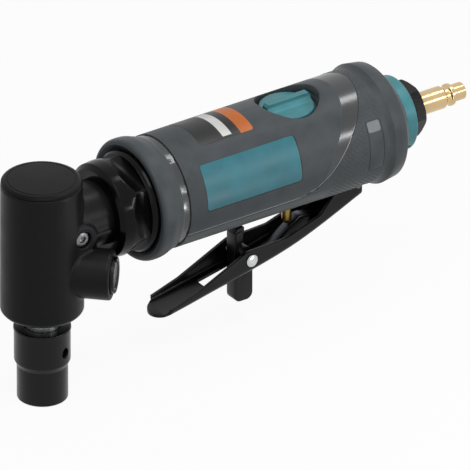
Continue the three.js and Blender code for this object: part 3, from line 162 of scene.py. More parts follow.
# Black print on the top plate; also the colour of the dark plates that paint shadow round the side plate and the
# badge.
LABEL_BLACK_AND_PAINTED_SHADOW = Finish("label_black_and_painted_shadow", (28, 27, 28), 0.4, slot="slate_plastic", specular=0.3)
LABEL_WHITE = Finish("label_white", (226, 226, 224), 0.42, slot="slate_plastic", specular=0.3)
BADGE_FILM = Finish(
    "badge_film", (132, 135, 138), 0.42, 0.0, Grain.SMOOTH, 0.4, 0.001, slot="steel", mottle=0.08, specular=0.3
)
LABEL_ORANGE = Finish("label_orange", (208, 112, 46), 0.42, slot="slate_plastic", specular=0.3)
RUBBER = Finish("seal_rubber", (20, 20, 21), 0.62, 0.0, Grain.MOULDED, 0.3, 0.01, slot="rubber", specular=0.3)
FELT_GREY = Finish(
    "silencer_felt", (112, 108, 100), 0.95, 0.0, Grain.FELT, 0.25, 0.08, slot="felt", specular=0.1
)
FIBRE = Finish(
    "vane_fibre", (96, 68, 44), 0.6, 0.0, Grain.BRUSHED, 0.3, 0.01, slot="vane_fibre", specular=0.3
)


def linear(colour: Triple) -> Quad:
    """Turns a display colour into scene light.

    Args:
        colour: Red, green and blue from 0 to 255.

    Returns:
        The colour as linear light, with full alpha.
    """
    parts = [c / 255 for c in colour]
    lit = [p / 12.92 if p <= 0.04045 else ((p + 0.055) / 1.055) ** 2.4 for p in parts]
    return (lit[0], lit[1], lit[2], 1.0)


class Paintshop:
    """Makes each finish once, as a material of nodes that read the object's own coordinates."""

    def __init__(self) -> None:
        """Starts with no material made."""
        self.made: dict[str, bpy.types.Material] = {}

    def material(self, finish: Finish) -> bpy.types.Material:
        """Gives the material of a finish.

        Args:
            finish: The finish that is wanted.

        Returns:
            Its material, made the first time that it is asked for.
        """
        if finish.name not in self.made:
            self.made[finish.name] = self._build(finish)
        return self.made[finish.name]

    def _build(self, finish: Finish) -> bpy.types.Material:
        """Builds the nodes of one finish.

        Args:
            finish: The finish.

        Returns:
            The new material.
        """
        material = bpy.data.materials.new(finish.name)
        material.use_nodes = True
        tree = material.node_tree
        shader = next(n for n in tree.nodes if n.type == "BSDF_PRINCIPLED")
        shader.inputs["Metallic"].default_value = finish.metal
        shader.inputs["Specular IOR Level"].default_value = finish.specular
        place = tree.nodes.new("ShaderNodeTexCoord").outputs["Object"]
        cloud = self._noise(tree, place, 9.0 * finish.grain_size + 4.0, 3)
        self._tint(tree, cloud, finish, shader)
        self._gloss(tree, cloud, finish, shader)
        if finish.relief > 0:
            bump = tree.nodes.new("ShaderNodeBump")
            bump.inputs["Distance"].default_value = finish.relief * MM
            tree.links.new(self._height(tree, place, finish), bump.inputs["Height"])
            tree.links.new(bump.outputs["Normal"], shader.inputs["Normal"])
        return material

    @staticmethod
    def _noise(tree: Tree, place: Socket, size: float, detail: float) -> Socket:
        """Adds a noise whose marks have one size.

        Args:
            tree: The material's nodes.
            place: The coordinates that it reads.
            size: The size of its marks, in millimetres.
            detail: How many finer layers it has.

        Returns:
            The noise's value.
        """
        noise = tree.nodes.new("ShaderNodeTexNoise")
        noise.inputs["Scale"].default_value = 1.0 / (size * MM)
        noise.inputs["Detail"].default_value = detail
        tree.links.new(place, noise.inputs["Vector"])
        return noise.outputs["Fac"]

    @staticmethod
    def _span(tree: Tree, value: Socket, low: float, high: float) -> Socket:
        """Stretches a noise value over a range.

        Args:
            tree: The material's nodes.
            value: The noise.
            low: What 0.3 becomes.
            high: What 0.7 becomes.

        Returns:
            The stretched value.
        """
        span = tree.nodes.new("ShaderNodeMapRange")
        span.inputs["From Min"].default_value = 0.3
        span.inputs["From Max"].default_value = 0.7
        span.inputs["To Min"].default_value = low
        span.inputs["To Max"].default_value = high
        tree.links.new(value, span.inputs["Value"])
        return span.outputs["Result"]

    def _tint(self, tree: Tree, cloud: Socket, finish: Finish, shader: Node) -> None:
        """Varies the colour a little over the surface.

        Args:
            tree: The material's nodes.
            cloud: A soft noise.
            finish: The finish.
            shader: The surface shader.
        """
        mix = tree.nodes.new("ShaderNodeMix")
        mix.data_type = "RGBA"
        dark = [c * (1 - finish.mottle) for c in finish.colour]
        light = [min(255.0, c * (1 + finish.mottle)) for c in finish.colour]
        mix.inputs["A"].default_value = linear((dark[0], dark[1], dark[2]))
        mix.inputs["B"].default_value = linear((light[0], light[1], light[2]))
        tree.links.new(self._span(tree, cloud, 0.0, 1.0), mix.inputs["Factor"])
        tree.links.new(mix.outputs["Result"], shader.inputs["Base Color"])

    def _gloss(self, tree: Tree, cloud: Socket, finish: Finish, shader: Node) -> None:
        """Varies the roughness a little over the surface.

        Args:
            tree: The material's nodes.
            cloud: A soft noise.
            finish: The finish.
            shader: The surface shader.
        """
        rough = self._span(tree, cloud, finish.roughness * 0.88, min(1.0, finish.roughness * 1.12))
        tree.links.new(rough, shader.inputs["Roughness"])

    def _height(self, tree: Tree, place: Socket, finish: Finish) -> Socket:
        """Makes the height map of a finish's grain.

        Args:
            tree: The material's nodes.
            place: The object's coordinates.
            finish: The finish.

        Returns:
            The height.
        """
        if finish.grain in (Grain.TURNED_X, Grain.TURNED_Z):
            place = self._around(tree, place, finish.grain)
        if finish.grain is Grain.BRUSHED:
            stretch = tree.nodes.new("ShaderNodeMapping")
            stretch.inputs["Scale"].default_value = (0.06, 1.0, 1.0)
            tree.links.new(place, stretch.inputs["Vector"])
            place = stretch.outputs["Vector"]
        detail = 5.0 if finish.grain in (Grain.CAST, Grain.FELT) else 2.0
        return self._noise(tree, place, finish.grain_size, detail)

    @staticmethod
    def _around(tree: Tree, place: Socket, grain: Grain) -> Socket:
        """Turns coordinates into height along an axis and distance from it, so that marks run round the piece.

        Args:
            tree: The material's nodes.
            place: The object's coordinates.
            grain: Which axis the piece is turned about.

        Returns:
            The new coordinates.
        """
        lift = tree.nodes.new("ShaderNodeVectorMath")
        lift.operation = "ADD"
        lift.inputs[1].default_value = (0.0, 0.0, AXIS_DROP * MM if grain is Grain.TURNED_X else 0.0)
        tree.links.new(place, lift.inputs[0])
        flat = tree.nodes.new("ShaderNodeVectorMath")
        flat.operation = "MULTIPLY"
        flat.inputs[1].default_value = (0.0, 1.0, 1.0) if grain is Grain.TURNED_X else (1.0, 1.0, 0.0)
        tree.links.new(lift.outputs["Vector"], flat.inputs[0])
        reach = tree.nodes.new("ShaderNodeVectorMath")
        reach.operation = "LENGTH"
        tree.links.new(flat.outputs["Vector"], reach.inputs[0])
        parts = tree.nodes.new("ShaderNodeSeparateXYZ")
        tree.links.new(lift.outputs["Vector"], parts.inputs[0])
        along = parts.outputs["X"] if grain is Grain.TURNED_X else parts.outputs["Z"]
        whole = tree.nodes.new("ShaderNodeCombineXYZ")
        tree.links.new(along, whole.inputs["X"])
        tree.links.new(reach.outputs["Value"], whole.inputs["Y"])
        return whole.outputs["Vector"]


SHOP = Paintshop()


class Forge:
    """Makes and works meshes. Sizes are in millimetres from where the barrel axis crosses the spindle axis."""

    facet = 2.5  # the angle of one facet of a wrapped plate, in degrees

    @staticmethod
    def mesh(name: str, points: Iterable[Sequence[float]], faces: Iterable[Sequence[int]]) -> Piece:
        """Makes an object from points and faces.

        Args:
            name: The object's name.
            points: Its corners.
            faces: Its faces, as corner numbers.

        Returns:
            The new object, at the frame's origin.
        """
        placed = [(x * MM, y * MM, (z - AXIS_DROP) * MM) for x, y, z in points]
        data = bpy.data.meshes.new(name)
        data.from_pydata(placed, [], [list(f) for f in faces])
        work = bmesh.new()
        work.from_mesh(data)
        bmesh.ops.recalc_face_normals(work, faces=work.faces)
        work.to_mesh(data)
        work.free()
        made = bpy.data.objects.new(name, data)
        bpy.context.scene.collection.objects.link(made)
        return made

    @staticmethod
    def eased(outline: Sequence[Pair], radius: float, steps: int = 6, closed: bool = True) -> list[Pair]:
        """Rounds the corners of an outline.

        Args:
            outline: Its corners.
            radius: The radius of each rounding, where the sides are long enough.
            steps: How many facets a rounding has.
            closed: Whether the outline closes on itself; if not, its two ends stay as they are.

        Returns:
            The rounded outline.
        """
        count = len(outline)
        out: list[Pair] = []
        for i, here in enumerate(outline):
            if not closed and i in (0, count - 1):
                out.append((here[0], here[1]))
                continue
            corner = Vector(here)
            back = Vector(outline[i - 1]) - corner
            on = Vector(outline[(i + 1) % count]) - corner
            if back.length < 1e-6 or on.length < 1e-6 or back.angle(on) > math.radians(176):
                out.append((here[0], here[1]))
                continue
            reach = min(radius / math.tan(back.angle(on) / 2), 0.45 * back.length, 0.45 * on.length)
            start, end = corner + back.normalized() * reach, corner + on.normalized() * reach
            for k in range(steps + 1):
                t = k / steps
                point = start * (1 - t) ** 2 + corner * (2 * t * (1 - t)) + end * t**2
                out.append((point.x, point.y))
        return out

    @classmethod
    def rounded(cls, profile: Sequence[Pair], radius: float, steps: int = 4) -> list[Pair]:
        """Rounds the corners of a profile of station and radius, and keeps its two ends."""
        return cls.eased(profile, radius, steps, closed=False)

    @staticmethod
    def flowing(points: Sequence[Pair], steps: int) -> list[Pair]:
        """Runs a smooth curve through points.

        Args:
            points: The points.
            steps: How many pieces the curve has between two of them.

        Returns:
            Points along the curve.
        """
        out = [(points[0][0], points[0][1])]
        for i in range(len(points) - 1):
            here, there = Vector(points[i]), Vector(points[i + 1])
            before = Vector(points[max(i - 1, 0)])
            after = Vector(points[min(i + 2, len(points) - 1)])
            leave, arrive = (there - before) / 2, (after - here) / 2
            for k in range(1, steps + 1):
                t = k / steps
                point = (2 * t**3 - 3 * t**2 + 1) * here + (t**3 - 2 * t**2 + t) * leave
                point += (-2 * t**3 + 3 * t**2) * there + (t**3 - t**2) * arrive
                out.append((point.x, point.y))
        return out

    @staticmethod
    def stadium(low: float, high: float, half: float, radius: float = 0.0) -> list[Pair]:
        """Gives a slot's outline.

        Args:
            low: Where it starts, along the tool.
            high: Where it ends.
            half: Half its width.
            radius: The radius of its corners; zero makes its ends half round.

        Returns:
            The outline, as x and y.
        """
        size = radius or min(half, (high - low) / 2)
        front, back, side = low + size, high - size, half - size
        out: list[Pair] = []
        for quarter, (x, y) in enumerate(((back, side), (front, side), (front, -side), (back, -side))):
            out += Forge.arc(x, y, size, quarter * math.pi / 2, (quarter + 1) * math.pi / 2, 6)
        return out

    @staticmethod
    def arc(x: float, y: float, size: float, start: float, end: float, steps: int = 12) -> list[Pair]:
        """Gives points on an arc.

        Args:
            x: Its centre.
            y: Its centre, the other way.
            size: Its radius.
            start: Its first angle, in radians.
            end: Its last angle.
            steps: How many pieces it has.

        Returns:
            The points, both ends included.
        """
        turns = [start + (end - start) * k / steps for k in range(steps + 1)]
        return [(x + size * math.cos(a), y + size * math.sin(a)) for a in turns]

    @staticmethod
    def box(left: float, right: float, low: float, high: float) -> list[Pair]:
        """Gives the corners of an upright rectangle, from its first one round."""
        return [(left, low), (right, low), (right, high), (left, high)]

    @staticmethod
    def slug(start: float, end: float, radius: float) -> list[Pair]:
        """Gives the profile of a plain round bar.

        Args:
            start: Its first station.
            end: Its last station.
            radius: Its radius.

        Returns:
            Points of station and radius, from axis to axis.
        """
        return [(start, 0), (start, radius), (end, radius), (end, 0)]

    @staticmethod
    def mouth(face: float, radius: float, bevel: float) -> list[Pair]:
        """Gives the end of a bore's profile where it opens, bevelled, in a face.

        Args:
            face: The face's station.
            radius: The bore's radius.
            bevel: The bevel's depth.

        Returns:
            Points of station and radius, to the axis past the face.
        """
        edge = face - bevel
        return [(edge, radius), (edge + OVER, radius + OVER), (face + OVER, 0)]

    @staticmethod
    def score(piece: Piece, lines: Sequence[tuple[Pair, Pair]]) -> None:
        """Cuts edges into a piece where upright planes through lines in the xz plane cross it.

        Args:
            piece: The piece.
            lines: Pairs of points of x and z.
        """
        work = bmesh.new()
        work.from_mesh(piece.data)
        for (x0, z0), (x1, z1) in lines:
            normal = Vector((z1 - z0, 0, x0 - x1)).normalized()
            place = Vector((x0, 0, z0 - AXIS_DROP)) * MM
            parts = [*work.verts, *work.edges, *work.faces]
            bmesh.ops.bisect_plane(work, geom=parts, dist=1e-7, plane_co=place, plane_no=normal)
        work.to_mesh(piece.data)
        work.free()

    @classmethod
    def wrapped(
        cls, name: str, start: float, end: float, low: float, high: float, inner: float, outer: float,
        corner: float,
    ) -> Piece:
        """Makes a plate that lies round the barrel.

        Args:
            name: The object's name.
            start: Where it starts along the barrel.
            end: Where it ends.
            low: Its first edge round the barrel, in degrees from the top towards the front.
            high: Its last edge round the barrel.
            inner: The radius of its back.
            outer: The radius of its face.
            corner: The radius of its corners.

        Returns:
            The plate.
        """
        arc = math.radians(1) * outer
        work = bmesh.new()
        box = cls.box(start, end, low * arc, high * arc)
        ring = [work.verts.new((x, s, 0)) for x, s in cls.eased(box, corner)]
        bmesh.ops.triangulate(work, faces=[work.faces.new(ring)])
        facet = cls.facet
        for k in range(math.floor(low / facet) + 1, math.ceil(high / facet)):
            parts, place = [*work.verts, *work.edges, *work.faces], (0, k * facet * arc, 0)
            bmesh.ops.bisect_plane(work, geom=parts, dist=1e-5, plane_co=place, plane_no=(0, 1, 0))
        inside = [e for e in work.edges if len(e.link_faces) == 2]
        slanted = [e for e in inside if abs(e.verts[0].co.y - e.verts[1].co.y) > 1e-4]
        bmesh.ops.dissolve_limit(work, angle_limit=0.01, verts=work.verts, edges=slanted)
        back = bmesh.ops.extrude_face_region(work, geom=list(work.faces))
        sunk = {item for item in back["geom"] if isinstance(item, bmesh.types.BMVert)}
        for vert in work.verts:
            radius, angle = inner if vert in sunk else outer, vert.co.y / outer
            vert.co = (vert.co.x * MM, -radius * math.sin(angle) * MM, (radius * math.cos(angle) - AXIS_DROP) * MM)
        bmesh.ops.recalc_face_normals(work, faces=work.faces)
        data = bpy.data.meshes.new(name)
        work.to_mesh(data)
        work.free()
        made = bpy.data.objects.new(name, data)
        bpy.context.scene.collection.objects.link(made)
        return made

    @classmethod
    def turned(
        cls, name: str, profile: Sequence[Pair], axis: Axis, steps: int = 96, centre: Triple = (0.0, 0.0, 0.0)
    ) -> Piece:
        """Turns a profile about an axis.

        Args:
            name: The object's name.
            profile: Points of station and radius; it starts and ends on the axis, or closes on itself.
            axis: The axis that it turns about.
            steps: How many facets it has round the axis.
            centre: Where the axis passes, and where station zero lies.

        Returns:
            The turned object.
        """
        points: list[Triple] = []
        rings: list[list[int]] = []
        for station, radius in profile:
            count = 1 if radius < 1e-6 else steps
            ring = []
            for k in range(count):
                angle = math.tau * k / steps
                a, b = radius * math.cos(angle), radius * math.sin(angle)
                local = (station, a, b) if axis is Axis.X else (a, b, station)
                ring.append(len(points))
                points.append((local[0] + centre[0], local[1] + centre[1], local[2] + centre[2]))
            rings.append(ring)
        pairs = list(zip(rings, rings[1:]))
        if len(rings[0]) > 1 or len(rings[-1]) > 1:
            pairs.append((rings[-1], rings[0]))
        faces: list[list[int]] = []
        for one, two in pairs:
            if len(one) == 1 and len(two) == 1:
                continue
            for k in range(steps):
                j = (k + 1) % steps
                quad = [one[k % len(one)], one[j % len(one)], two[j % len(two)], two[k % len(two)]]
                faces.append(list(dict.fromkeys(quad)))
        return cls.mesh(name, points, faces)

    @classmethod
    def rod(
        cls, name: str, radius: float, start: float, end: float, axis: Axis, steps: int = 48,
        centre: Triple = (0.0, 0.0, 0.0),
    ) -> Piece:
        """Makes a plain rod for joining or cutting.

        Args:
            name: The object's name.
            radius: Its radius.
            start: Its first station.
            end: Its last station.
            axis: Its axis.
            steps: How many facets it has.
            centre: Where the axis passes.

        Returns:
            The rod.
        """
        return cls.turned(name, cls.slug(start, end, radius), axis, steps, centre)

    @classmethod
    def plate(cls, name: str, outline: Sequence[Pair], low: float, high: float, axis: str = "y") -> Piece:
        """Makes a flat plate from an outline.

        Args:
            name: The object's name.
            outline: Its outline, as x and z for axis y, or x and y for axis z.
            low: Where it starts along the axis.
            high: Where it ends.
            axis: The direction of its thickness, y or z.

        Returns:
            The plate.
        """
        count = len(outline)
        points: list[Triple] = []
        for level in (low, high):
            points += [(u, level, v) if axis == "y" else (u, v, level) for u, v in outline]
        sides = [[i, (i + 1) % count, count + (i + 1) % count, count + i] for i in range(count)]
        return cls.mesh(name, points, [list(range(count)), list(range(count, 2 * count)), *sides])

    @classmethod
    def grid(cls, name: str, rows: Sequence[Sequence[Triple]], closed: bool = False) -> Piece:
        """Makes a skin through rows of points, all of one length.

        Args:
            name: The object's name.
            rows: The rows of points.
            closed: Whether each row closes on itself, and the ends are filled.

        Returns:
            The skin.
        """
        width = len(rows[0])
        points = [p for row in rows for p in row]
        faces: list[list[int]] = []
        for r in range(len(rows) - 1):
            for i in range(width if closed else width - 1):
                j = (i + 1) % width
                faces.append([r * width + i, r * width + j, (r + 1) * width + j, (r + 1) * width + i])
        if closed:
            faces.append(list(range(width)))
            faces.append([(len(rows) - 1) * width + i for i in range(width)])
        return cls.mesh(name, points, faces)

    @staticmethod
    def spin(piece: Piece, degrees: float, axis: str, through: Triple = (0.0, 0.0, 0.0)) -> Piece:
        """Turns a piece's mesh about a line.

        Args:
            piece: The piece.
            degrees: How far it turns, by the right-hand rule.
            axis: The line's direction.
            through: A point on the line.

        Returns:
            The same piece.
        """
        base = Vector((through[0], through[1], through[2] - AXIS_DROP)) * MM
        turn = Matrix.Rotation(math.radians(degrees), 4, axis.upper())
        piece.data.transform(Matrix.Translation(base) @ turn @ Matrix.Translation(-base))
        return piece

    @staticmethod
    def settle(piece: Piece) -> Piece:
        """Turns what a piece's modifiers make into its plain mesh.

        Args:
            piece: The piece.

        Returns:
            The same piece, without modifiers.
        """
        graph = bpy.context.evaluated_depsgraph_get()
        graph.update()
        fresh = bpy.data.meshes.new_from_object(piece.evaluated_get(graph))
        piece.modifiers.clear()
        old, piece.data = piece.data, fresh
        bpy.data.meshes.remove(old)
        return piece

    @staticmethod
    def discard(piece: Piece) -> None:
        """Removes a piece and its mesh.

        Args:
            piece: The piece.
        """
        data = piece.data
        bpy.data.objects.remove(piece)
        bpy.data.meshes.remove(data)

    @classmethod
    def combine(cls, how: str, body: Piece, *tools: Piece) -> Piece:
        """Joins solids to a body, cuts them out of it, or keeps what they share.

        Args:
            how: UNION, DIFFERENCE or INTERSECT.
            body: The body.
            *tools: The other solids, which are used up.

        Returns:
            The body.
        """
        for tool in tools:
            step = body.modifiers.new("combine", "BOOLEAN")
            step.operation = how
            step.solver = "EXACT"
            step.use_self = False
            step.object = tool
            cls.settle(body)
            cls.discard(tool)
        return body

    @classmethod
    def soften(cls, piece: Piece, width: float, degrees: float = 30.0, steps: int = 2) -> Piece:
        """Rounds the sharp edges of a piece.

        Args:
            piece: The piece.
            width: The width of the rounding.
            degrees: Edges sharper than this are rounded.
            steps: How many facets the rounding has.

        Returns:
            The same piece.
        """
        edge = piece.modifiers.new("edge", "BEVEL")
        edge.width = width * MM
        edge.segments = steps
        edge.limit_method = "ANGLE"
        edge.angle_limit = math.radians(degrees)
        return cls.settle(piece)

    @staticmethod
    def shade(piece: Piece, degrees: float = 32.0) -> Piece:
        """Shades a piece smoothly, with its sharp edges kept.

        Args:
            piece: The piece.
            degrees: Edges that turn by more than this stay sharp.

        Returns:
            The same piece.
        """
        piece.data.shade_smooth()
        piece.data.set_sharp_from_angle(angle=math.radians(degrees))
        return piece


class Pattern:
    """Geometry Nodes for what repeats: copies round a line, and studs over the barrel."""

    def __init__(self) -> None:
        """Starts with no tree made."""
        self.trees: dict[str, Tree] = {}

    def around(
        self, piece: Piece, count: int, step: float, axis: Axis, through: Triple = (0.0, 0.0, 0.0),
        first: float = 0.0,
    ) -> Piece:
        """Repeats a piece round a line.

        Args:
            piece: The piece, which becomes all its copies.
            count: How many copies there are.
            step: The angle between two of them, in degrees.
            axis: The line's direction.
            through: A point on the line.
            first: The angle of the first copy, in degrees.

        Returns:
            The same piece, as one mesh of all the copies.
        """
        line = (1.0, 0.0, 0.0) if axis is Axis.X else (0.0, 0.0, 1.0)
        centre = (through[0] * MM, through[1] * MM, (through[2] - AXIS_DROP) * MM)
        sizes = {"Count": count, "Axis": line, "Centre": centre}
        sizes |= {"First": math.radians(first), "Step": math.radians(step)}
        return self._grow(piece, "copies_round_a_line", self._ring_tree, sizes, BARE_STEEL)

    def studs(self, piece: Piece, width: float, height: float, finish: Finish) -> Piece:
        """Sets a low four-sided stud on each point of a piece that lies on the barrel.

        Args:
            piece: The points, which become the studs.
            width: Half the width of a stud's foot, in millimetres.
            height: Its height, in millimetres.
            finish: Its finish.

        Returns:
            The same piece, as one mesh of all the studs.
        """
        sizes = {"Width": width * MM, "Height": height * MM, "Axis Drop": AXIS_DROP * MM}
        return self._grow(piece, "studs_on_the_barrel", self._stud_tree, sizes, finish)

    def _grow(
        self, piece: Piece, name: str, make: Callable[[Tree], None], sizes: dict[str, object],
        finish: Finish,
    ) -> Piece:
        """Runs a tree on a piece and keeps what it makes as the piece's plain mesh.

        Args:
            piece: The piece.
            name: The tree's name.
            make: Builds the tree's nodes, the first time that it is used.
            sizes: The values of its inputs, by name.
            finish: The finish of what it makes.

        Returns:
            The same piece.
        """
        if name not in self.trees:
            self.trees[name] = bpy.data.node_groups.new(name, "GeometryNodeTree")
            make(self.trees[name])
        tree = self.trees[name]
        step = piece.modifiers.new(name, "NODES")
        step.node_group = tree
        values = {**sizes, "Finish": SHOP.material(finish)}
        for item in tree.interface.items_tree:
            if item.item_type == "SOCKET" and item.in_out == "INPUT" and item.name in values:
                step[item.identifier] = values[item.name]
        return Forge.settle(piece)

    @staticmethod
    def _sockets(tree: Tree, **kinds: str) -> tuple[Node, Node]:
        """Gives a tree its geometry in and out, and its named inputs.

        Args:
            tree: The tree.
            **kinds: The type of each further input, by name, with _ for a space.

        Returns:
            The nodes of its inputs and of its output.
        """
        tree.interface.new_socket("Geometry", in_out="INPUT", socket_type="NodeSocketGeometry")
        for name, kind in kinds.items():
            tree.interface.new_socket(name.replace("_", " "), in_out="INPUT", socket_type="NodeSocket" + kind)
        tree.interface.new_socket("Geometry", in_out="OUTPUT", socket_type="NodeSocketGeometry")
        return tree.nodes.new("NodeGroupInput"), tree.nodes.new("NodeGroupOutput")

    @staticmethod
    def _finished(tree: Tree, instances: Socket, entry: Node, leave: Node) -> None:
        """Ends a tree: makes its instances real and sets their material.

        Args:
            tree: The tree.
            instances: Its instances.
            entry: The node of its inputs.
            leave: The node of its output.
        """
        real = tree.nodes.new("GeometryNodeRealizeInstances")
        paint = tree.nodes.new("GeometryNodeSetMaterial")
        tree.links.new(instances, real.inputs["Geometry"])
        tree.links.new(real.outputs["Geometry"], paint.inputs["Geometry"])
        tree.links.new(entry.outputs["Finish"], paint.inputs["Material"])
        tree.links.new(paint.outputs["Geometry"], leave.inputs["Geometry"])

    @staticmethod
    def _maths(tree: Tree, how: str, *values: Socket | float) -> Socket:
        """Adds a sum to a tree.

        Args:
            tree: The tree.
            how: The operation.
            *values: What goes into it.

        Returns:
            The result.
        """
        node = tree.nodes.new("ShaderNodeMath")
        node.operation = how
        for slot, value in zip(node.inputs, values):
            if isinstance(value, (int, float)):
                slot.default_value = value
            else:
                tree.links.new(value, slot)
        return node.outputs[0]

    @classmethod
    def _ring_tree(cls, tree: Tree) -> None:
        """Builds the tree that repeats its geometry round a line.

        Args:
            tree: The empty tree.
        """
        entry, leave = cls._sockets(
            tree, Count="Int", First="Float", Step="Float", Axis="Vector", Centre="Vector", Finish="Material"
        )
        away = tree.nodes.new("ShaderNodeVectorMath")
        away.operation = "SCALE"
        away.inputs["Scale"].default_value = -1.0
        tree.links.new(entry.outputs["Centre"], away.inputs[0])
        move = tree.nodes.new("GeometryNodeTransform")
        tree.links.new(entry.outputs["Geometry"], move.inputs["Geometry"])
        tree.links.new(away.outputs["Vector"], move.inputs["Translation"])
        points = tree.nodes.new("GeometryNodePoints")
        tree.links.new(entry.outputs["Count"], points.inputs["Count"])
        tree.links.new(entry.outputs["Centre"], points.inputs["Position"])
        number = tree.nodes.new("GeometryNodeInputIndex").outputs[0]
        angle = cls._maths(tree, "MULTIPLY_ADD", number, entry.outputs["Step"], entry.outputs["First"])
        turn = tree.nodes.new("FunctionNodeAxisAngleToRotation")
        tree.links.new(entry.outputs["Axis"], turn.inputs["Axis"])
        tree.links.new(angle, turn.inputs["Angle"])
        copies = tree.nodes.new("GeometryNodeInstanceOnPoints")
        tree.links.new(points.outputs[0], copies.inputs["Points"])
        tree.links.new(move.outputs["Geometry"], copies.inputs["Instance"])
        tree.links.new(turn.outputs["Rotation"], copies.inputs["Rotation"])
        cls._finished(tree, copies.outputs["Instances"], entry, leave)

    @classmethod
    def _stud_tree(cls, tree: Tree) -> None:
        """Builds the tree that sets a stud on each point, square to the barrel.

        Args:
            tree: The empty tree.
        """
        entry, leave = cls._sockets(tree, Width="Float", Height="Float", Axis_Drop="Float", Finish="Material")
        stud = tree.nodes.new("GeometryNodeMeshCone")
        stud.inputs["Vertices"].default_value = 4
        tree.links.new(cls._maths(tree, "MULTIPLY", entry.outputs["Width"], 0.3), stud.inputs["Radius Top"])
        tree.links.new(entry.outputs["Width"], stud.inputs["Radius Bottom"])
        tree.links.new(entry.outputs["Height"], stud.inputs["Depth"])
        place = tree.nodes.new("ShaderNodeSeparateXYZ")
        tree.links.new(tree.nodes.new("GeometryNodeInputPosition").outputs[0], place.inputs[0])
        back = cls._maths(tree, "MULTIPLY", place.outputs["Y"], -1.0)
        up = cls._maths(tree, "ADD", place.outputs["Z"], entry.outputs["Axis Drop"])
        lean = tree.nodes.new("ShaderNodeCombineXYZ")
        tree.links.new(cls._maths(tree, "ARCTAN2", back, up), lean.inputs["X"])
        copies = tree.nodes.new("GeometryNodeInstanceOnPoints")
        tree.links.new(entry.outputs["Geometry"], copies.inputs["Points"])
        tree.links.new(stud.outputs["Mesh"], copies.inputs["Instance"])
        tree.links.new(lean.outputs[0], copies.inputs["Rotation"])
        cls._finished(tree, copies.outputs["Instances"], entry, leave)


PATTERN = Pattern()


@dataclass
class Assembly:
    """A group of pieces of the tool, and the CAD body that each of them rides on."""

    pieces: list[Piece] = field(default_factory=list)

    def show(self, piece: Piece, body: str, finish: Finish, *nodes: str, angle: float = 32.0) -> Piece:
        """Finishes a piece and sets it in place of its CAD nodes.

        Args:
            piece: The piece.
            body: The body that it rides on.
            finish: Its finish, unless its faces have materials already.
            *nodes: The CAD nodes that it replaces.
            angle: Edges that turn by more than this stay sharp.

        Returns:
            The piece.
        """
        if not piece.data.materials:
            piece.data.materials.append(SHOP.material(finish))
        Forge.shade(piece, angle)
        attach(piece, body)
        if nodes:
            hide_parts(*nodes)
        self.pieces.append(piece)
        LOG.info("%s: %d faces on %s", piece.name, len(piece.data.polygons), body)
        return piece


